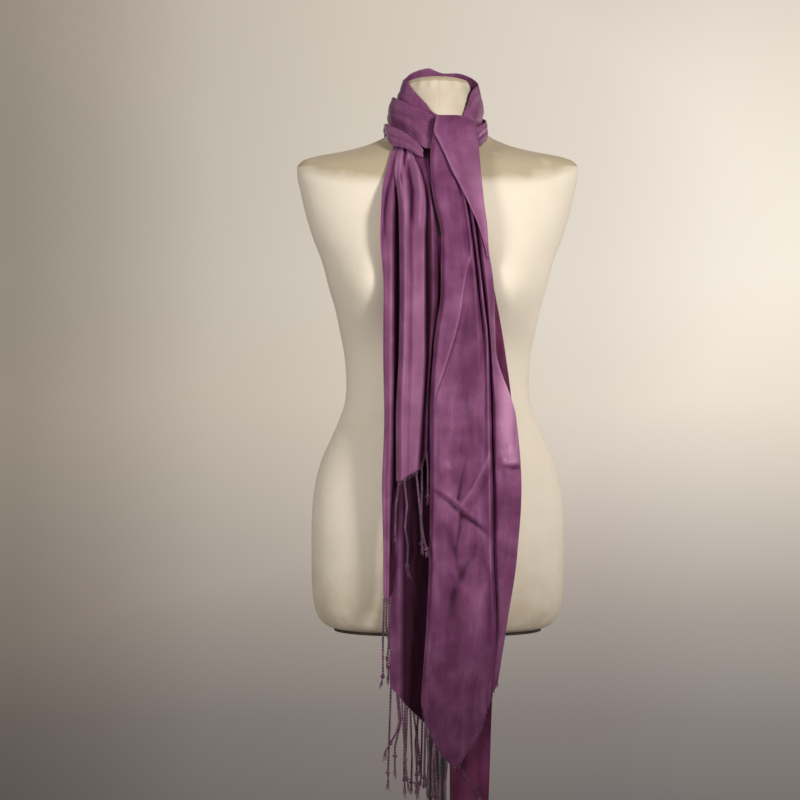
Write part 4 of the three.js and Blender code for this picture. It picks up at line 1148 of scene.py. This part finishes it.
for name, surface, cloth, valley, edges, shade, flat, held, under in (
    (
        "right_tail_front", front_panel, mauve_twill, 3.8, (1.8, 1.2, 3.4), front_shade,
        (0.18, 0.78), "gathered", "right_tail_back",
    ),
    (
        "right_tail_back", back_panel, mauve_reverse_shaded, 2.8, (1.0, 1.8, 3.2), back_shade,
        (0.1, 0.77), "hung", "torso_cover",
    ),
    (
        "right_tail_under", under_panel, mauve_twill, 2.8, (1.6, 1.0, 3.2), under_shade,
        (0.065, 0.51), "hung", "left_tail_side",
    ),
    (
        "left_tail_front", short_panel, mauve_twill, 2.8, (1.2, 1.2, 3.0), short_shade,
        (0.085, 0.45), "gathered", "left_tail_side",
    ),
    (
        "left_tail_side", side_panel, mauve_twill, 2.8, (1.0, 1.6, 3.0), side_shade,
        (0.065, 0.63), "gathered", "torso_cover",
    ),
):
    thick = two_edges(surface.shape[1], *edges)
    piece = lay_sheet(name + "_panel", surface, cloth, thick, DOWN_FROM - surface[..., 2], shade, valley)
    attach(piece, "root")
    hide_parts(name)

# ---------------------------------------------------------------- fringe
# The warp ends are twisted in pairs into short cords, knotted, and left to fray below the
# knot. They hang from the cut ends, and some have swung across or crossed each other.

# Twisted viscose yarn: soft and hairy, greyer than the cloth, lighter and darker from cord
# to cord, every 45 mm or so, with shade painted nearly black in the groove between its two
# plies.
fringe_yarn, shader, tree = new_material(
    "twisted_viscose_fringe_yarn", Roughness=0.62, Sheen_Weight=0.3, Sheen_Roughness=0.4,
    Sheen_Tint=shade_of("f0b8de"), Specular_IOR_Level=0.25,
)
place = add_node(tree, "ShaderNodeTexCoord").outputs["Object"]
hairs = add_node(tree, "ShaderNodeTexNoise", place, Scale=300.0, Detail=3.0)
lots = add_node(tree, "ShaderNodeTexNoise", place, Scale=22.0, Detail=2.0)
both = add_node(tree, "ShaderNodeMix", data_type="FLOAT", Factor=0.5, A=hairs, B=lots)
yarn_tone = add_node(tree, "ShaderNodeValToRGB", both, stops=[
    (0.35, "4c2c44"), (0.5, "6a4862"), (0.65, "94728a"),
])
# painted shade: the groove between the plies is mixed to near black
groove = add_node(tree, "ShaderNodeAttribute", attribute_name="fold").outputs["Fac"]
grooved = add_node(tree, "ShaderNodeMix", data_type="RGBA", Factor=groove, A=yarn_tone, B=shade_of("2c1426"))
tree.links.new(shader.inputs["Base Color"], grooved.outputs["Result"])
yarn_bump = add_node(tree, "ShaderNodeBump", Strength=0.4, Distance=0.0004, Height=hairs)
tree.links.new(shader.inputs["Normal"], yarn_bump.outputs["Normal"])

CORD_RADIUS = 1.25
CORD_TWIST = 0.8  # in radians for a millimetre
PLY = 0.38  # how far the two plies stand out from a round cord
TUFT_HAIRS = 12


def way_along(points):
    """How far along a line each of its points lies."""
    return np.concatenate([[0], np.cumsum(np.linalg.norm(np.diff(points, axis=0), axis=1))])


def place_on(line, share):
    """The places on a line at shares of its points, from its first to its last."""
    return np.stack([np.interp(share, np.linspace(0, 1, len(line)), line[:, k]) for k in range(3)], -1)


def tube(line, radii, sides, twist=0.0, lobes=0.0):
    """Points and faces of a tube along a line, and how deep in a groove each point lies. Two
    lobes that turn with twist give a two-ply cord."""
    line, radii = np.asarray(line, float), np.asarray(radii, float)
    ahead = of_length_one(np.gradient(line, axis=0))
    side = of_length_one(np.cross(ahead, [0.0, 1.0, 0.0]))
    up = np.cross(side, ahead)
    turn = 2 * np.pi * np.arange(sides) / sides
    ply = np.cos(2 * (turn - twist * way_along(line)[:, None]))
    groove = np.append(np.clip(0.1 - ply, 0, 1).ravel() * (lobes > 0), (0, 0))
    spread = radii[:, None] * (1 + lobes * ply)
    outward = np.cos(turn)[None, :, None] * side[:, None] + np.sin(turn)[None, :, None] * up[:, None]
    ring = line[:, None] + spread[..., None] * outward
    count = len(line)
    points = np.concatenate([ring.reshape(-1, 3), line[:1], line[-1:]])
    faces = []
    for j in range(count - 1):
        for i in range(sides):
            n = (i + 1) % sides
            faces.append([j * sides + i, (j + 1) * sides + i, (j + 1) * sides + n, j * sides + n])
    start, stop, rim = count * sides, count * sides + 1, (count - 1) * sides
    faces += [[start, i, (i + 1) % sides] for i in range(sides)]
    faces += [[stop, rim + (i + 1) % sides, rim + i] for i in range(sides)]
    return points, faces, groove


def smooth_line(points, step):
    """A smooth line through given points, with a point every step millimetres."""
    points = np.asarray(points, float)
    gone = way_along(points)
    at = np.linspace(0, gone[-1], max(4, int(gone[-1] / step)))
    return smooth(np.stack([np.interp(at, gone, points[:, k]) for k in range(3)], -1), 6)


def fringe_cord(route, knot_at, dice):
    """One cord of the fringe with its knot and frayed tassel. knot_at is its share of the length."""
    line = smooth_line(route, 0.8)
    knot = int(len(line) * knot_at)
    body = line[: knot + 4]
    taper = np.minimum(1, 0.45 + np.arange(len(body)) / 10)
    swell = 1.35 * np.exp(-(((np.arange(len(body)) - knot + 1) / 2.7) ** 2))
    parts = [tube(body, CORD_RADIUS * taper * (1 + swell), 8, CORD_TWIST, PLY)]
    for _ in range(TUFT_HAIRS):
        angle, spread, cut = dice.uniform(0, 6.28), dice.uniform(0.5, 3.2), dice.uniform(0.6, 1.0)
        t = np.linspace(0, cut, 7)
        bend = spread * t**1.3 + 0.5
        curl = dice.uniform(-1.2, 1.2) * np.sin(t * 5)
        hair = place_on(line[knot:], t)
        hair += np.stack([np.cos(angle) * bend + curl * 0.6, np.sin(angle) * bend, 0 * t], -1)
        parts.append(tube(hair, 0.42 * (1 - 0.45 * t), 4))
    return parts


def frayed_hair(root, dice, across, outward, fall, bow, radius):
    """One short end of yarn: its tip lies within these limits from its root, and it bows."""
    t = np.linspace(0, 1, 4)[:, None]
    tip = np.array([dice.uniform(*across), dice.uniform(*outward), -dice.uniform(*fall)])
    bowed = np.array([dice.uniform(-bow, bow), 0, 0]) * np.sin(t * 3)
    return tube(root + tip * t + bowed, radius + 0 * t[:, 0], 3)


def lay_fringe(name, parts):
    """Joins cords and hairs into one piece of the fringe."""
    points, faces, grooves, base = [], [], [], 0
    for some, these, groove in parts:
        points.append(some)
        grooves.append(groove)
        faces += [[base + n for n in face] for face in these]
        base += len(some)
    row = make_mesh(name, np.concatenate(points), faces, fringe_yarn, fold=np.concatenate(grooves))
    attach(row, "root")
    return row


def fringe_row(name, replaced, surface, routes, spare, first, last, seed):
    """A row of cords along a cut end, with a frayed edge between them. A route is its knot's
    place and the cord's own way down, across and up; spare cords between hang straight."""
    dice = np.random.default_rng(seed)
    parts = []
    for knot_at, *route in routes:
        close = np.abs(surface[-1, :, 0] - route[0][0]) + 0.2 * surface[-1, :, 1]
        root = surface[-1, np.argmin(close)]
        across, up = np.array(route, float).T
        sway = np.concatenate([[0], np.cumsum(dice.uniform(-1.2, 1.2, len(route) - 1))])
        way = np.stack([across, root[1] - 0.8 + sway, up], -1)
        way[0] = root + (0, 0, 1.2)
        parts += fringe_cord(way, knot_at, dice)
    for n in range(spare):
        root = place_on(surface[-1], first + (last - first) * (n + dice.uniform(0.3, 0.7)) / spare)
        long, drift = dice.uniform(104, 130), dice.uniform(-5, 5, 3)
        way = root + np.array([
            (0, 0.6, 1.2),
            (drift[0], 1.2, -0.3 * long),
            (drift[1], 0.8, -0.6 * long),
            (drift[2], 1.4, -long),
        ])
        parts += fringe_cord(way, dice.uniform(0.68, 0.8), dice)
    hairs = int(90 * (last - first)) + 12
    for n in range(hairs):
        root = place_on(surface[-1], first + (last - first) * (n + dice.uniform(0, 1)) / hairs)
        parts.append(frayed_hair(root + (0, 0, 0.8), dice, (-1.8, 1.8), (-1.2, 0.6), (2.0, 6.5), 1, 0.22))
    row = lay_fringe(name, parts)
    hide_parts(replaced)


fringe_row("fringe_left_front_cords", "fringe_left_front", short_panel, [
    (0.86, (-46.9, 958), (-43, 927), (-45.6, 897), (-41.7, 875), (-43, 845), (-39, 829)),
    (0.82, (-53.4, 957), (-57.3, 927), (-58.6, 888), (-56, 862)),
    (0.9, (-31, 973), (-28.6, 946), (-26, 920), (-22.1, 888), (-17.5, 869), (-16.5, 858)),
    (0.86, (-24, 980), (-23.4, 946), (-24.7, 907), (-23, 868), (-23.6, 858)),
    (0.84, (-17, 994), (-15.5, 972), (-15.8, 944), (-15.2, 926)),
], 0, 0.02, 0.98, 21)
fringe_row("fringe_left_corner_cords", "fringe_left_corner", side_panel, [
    (0.87, (-72.6, 806), (-74.4, 750), (-74.4, 704), (-77, 687)),
    (0.8, (-66, 803), (-66.5, 750), (-69.1, 720), (-67.8, 706)),
], 1, 0.3, 0.5, 22)
fringe_row("fringe_right_under_cords", "fringe_right_under", under_panel, [
    (0.82, (-64, 686), (-66.6, 609), (-67.9, 572), (-67.9, 546)),
    (0.72, (-56.1, 678), (-53.1, 640), (-56.4, 626), (-71.5, 600), (-73, 586)),
    (0.84, (-49.5, 670), (-46.8, 616), (-42.9, 563), (-40.2, 544)),
    (0.8, (-42, 662), (-44.2, 603), (-46.5, 570)),
    (0.85, (-38.5, 658), (-36.3, 590), (-37.6, 540)),
    (0.8, (-34.5, 652), (-27.1, 600), (-25, 566)),
    (0.86, (-28.4, 648), (-29.7, 583), (-31, 540)),
    (0.84, (-22.5, 642), (-24.4, 563), (-29.7, 540)),
    (0.82, (-18, 638), (-19.2, 596), (-20.5, 548)),
], 3, 0.3, 0.95, 23)
fringe_row("fringe_right_front_cords", "fringe_right_front", front_panel, [
    (0.8, (-17, 652), (-15, 600), (-17, 545)),
    (0.8, (-8, 634), (-10, 590), (-9, 532)),
    (0.8, (-1, 620), (0.5, 570), (-1.5, 512)),
], 3, 0.04, 0.3, 24)
fringe_row("fringe_right_corner_cords", "fringe_right_corner", back_panel, [], 11, 0.02, 0.8, 25)

# the front's slanted edge, and the edge behind it, are cut and fray into short hairs
dice = np.random.default_rng(26)
hairs = []
for _ in range(150):
    root = place_on(front_panel[-1], dice.uniform(0.3, 0.97)) + (0, 0, 0.8)
    hairs.append(frayed_hair(root, dice, (-2.4, 1.2), (-1.2, 0.6), (1.6, 6.0), 1, 0.24))
for _ in range(70):
    at = dice.uniform(0, 1)
    row = back_panel[np.argmin(np.abs(back_panel[:, 50, 2] - (577 - 36 * at)))]
    root = row[np.argmin(np.abs(row[:, 0] - (26 + 30 * at)))] - (0, 0.9, 0)
    hairs.append(frayed_hair(root, dice, (-3, 4), (-1.4, -0.2), (2.0, 7.0), 1.5, 0.3))
lay_fringe("frayed_edge_hairs", hairs)
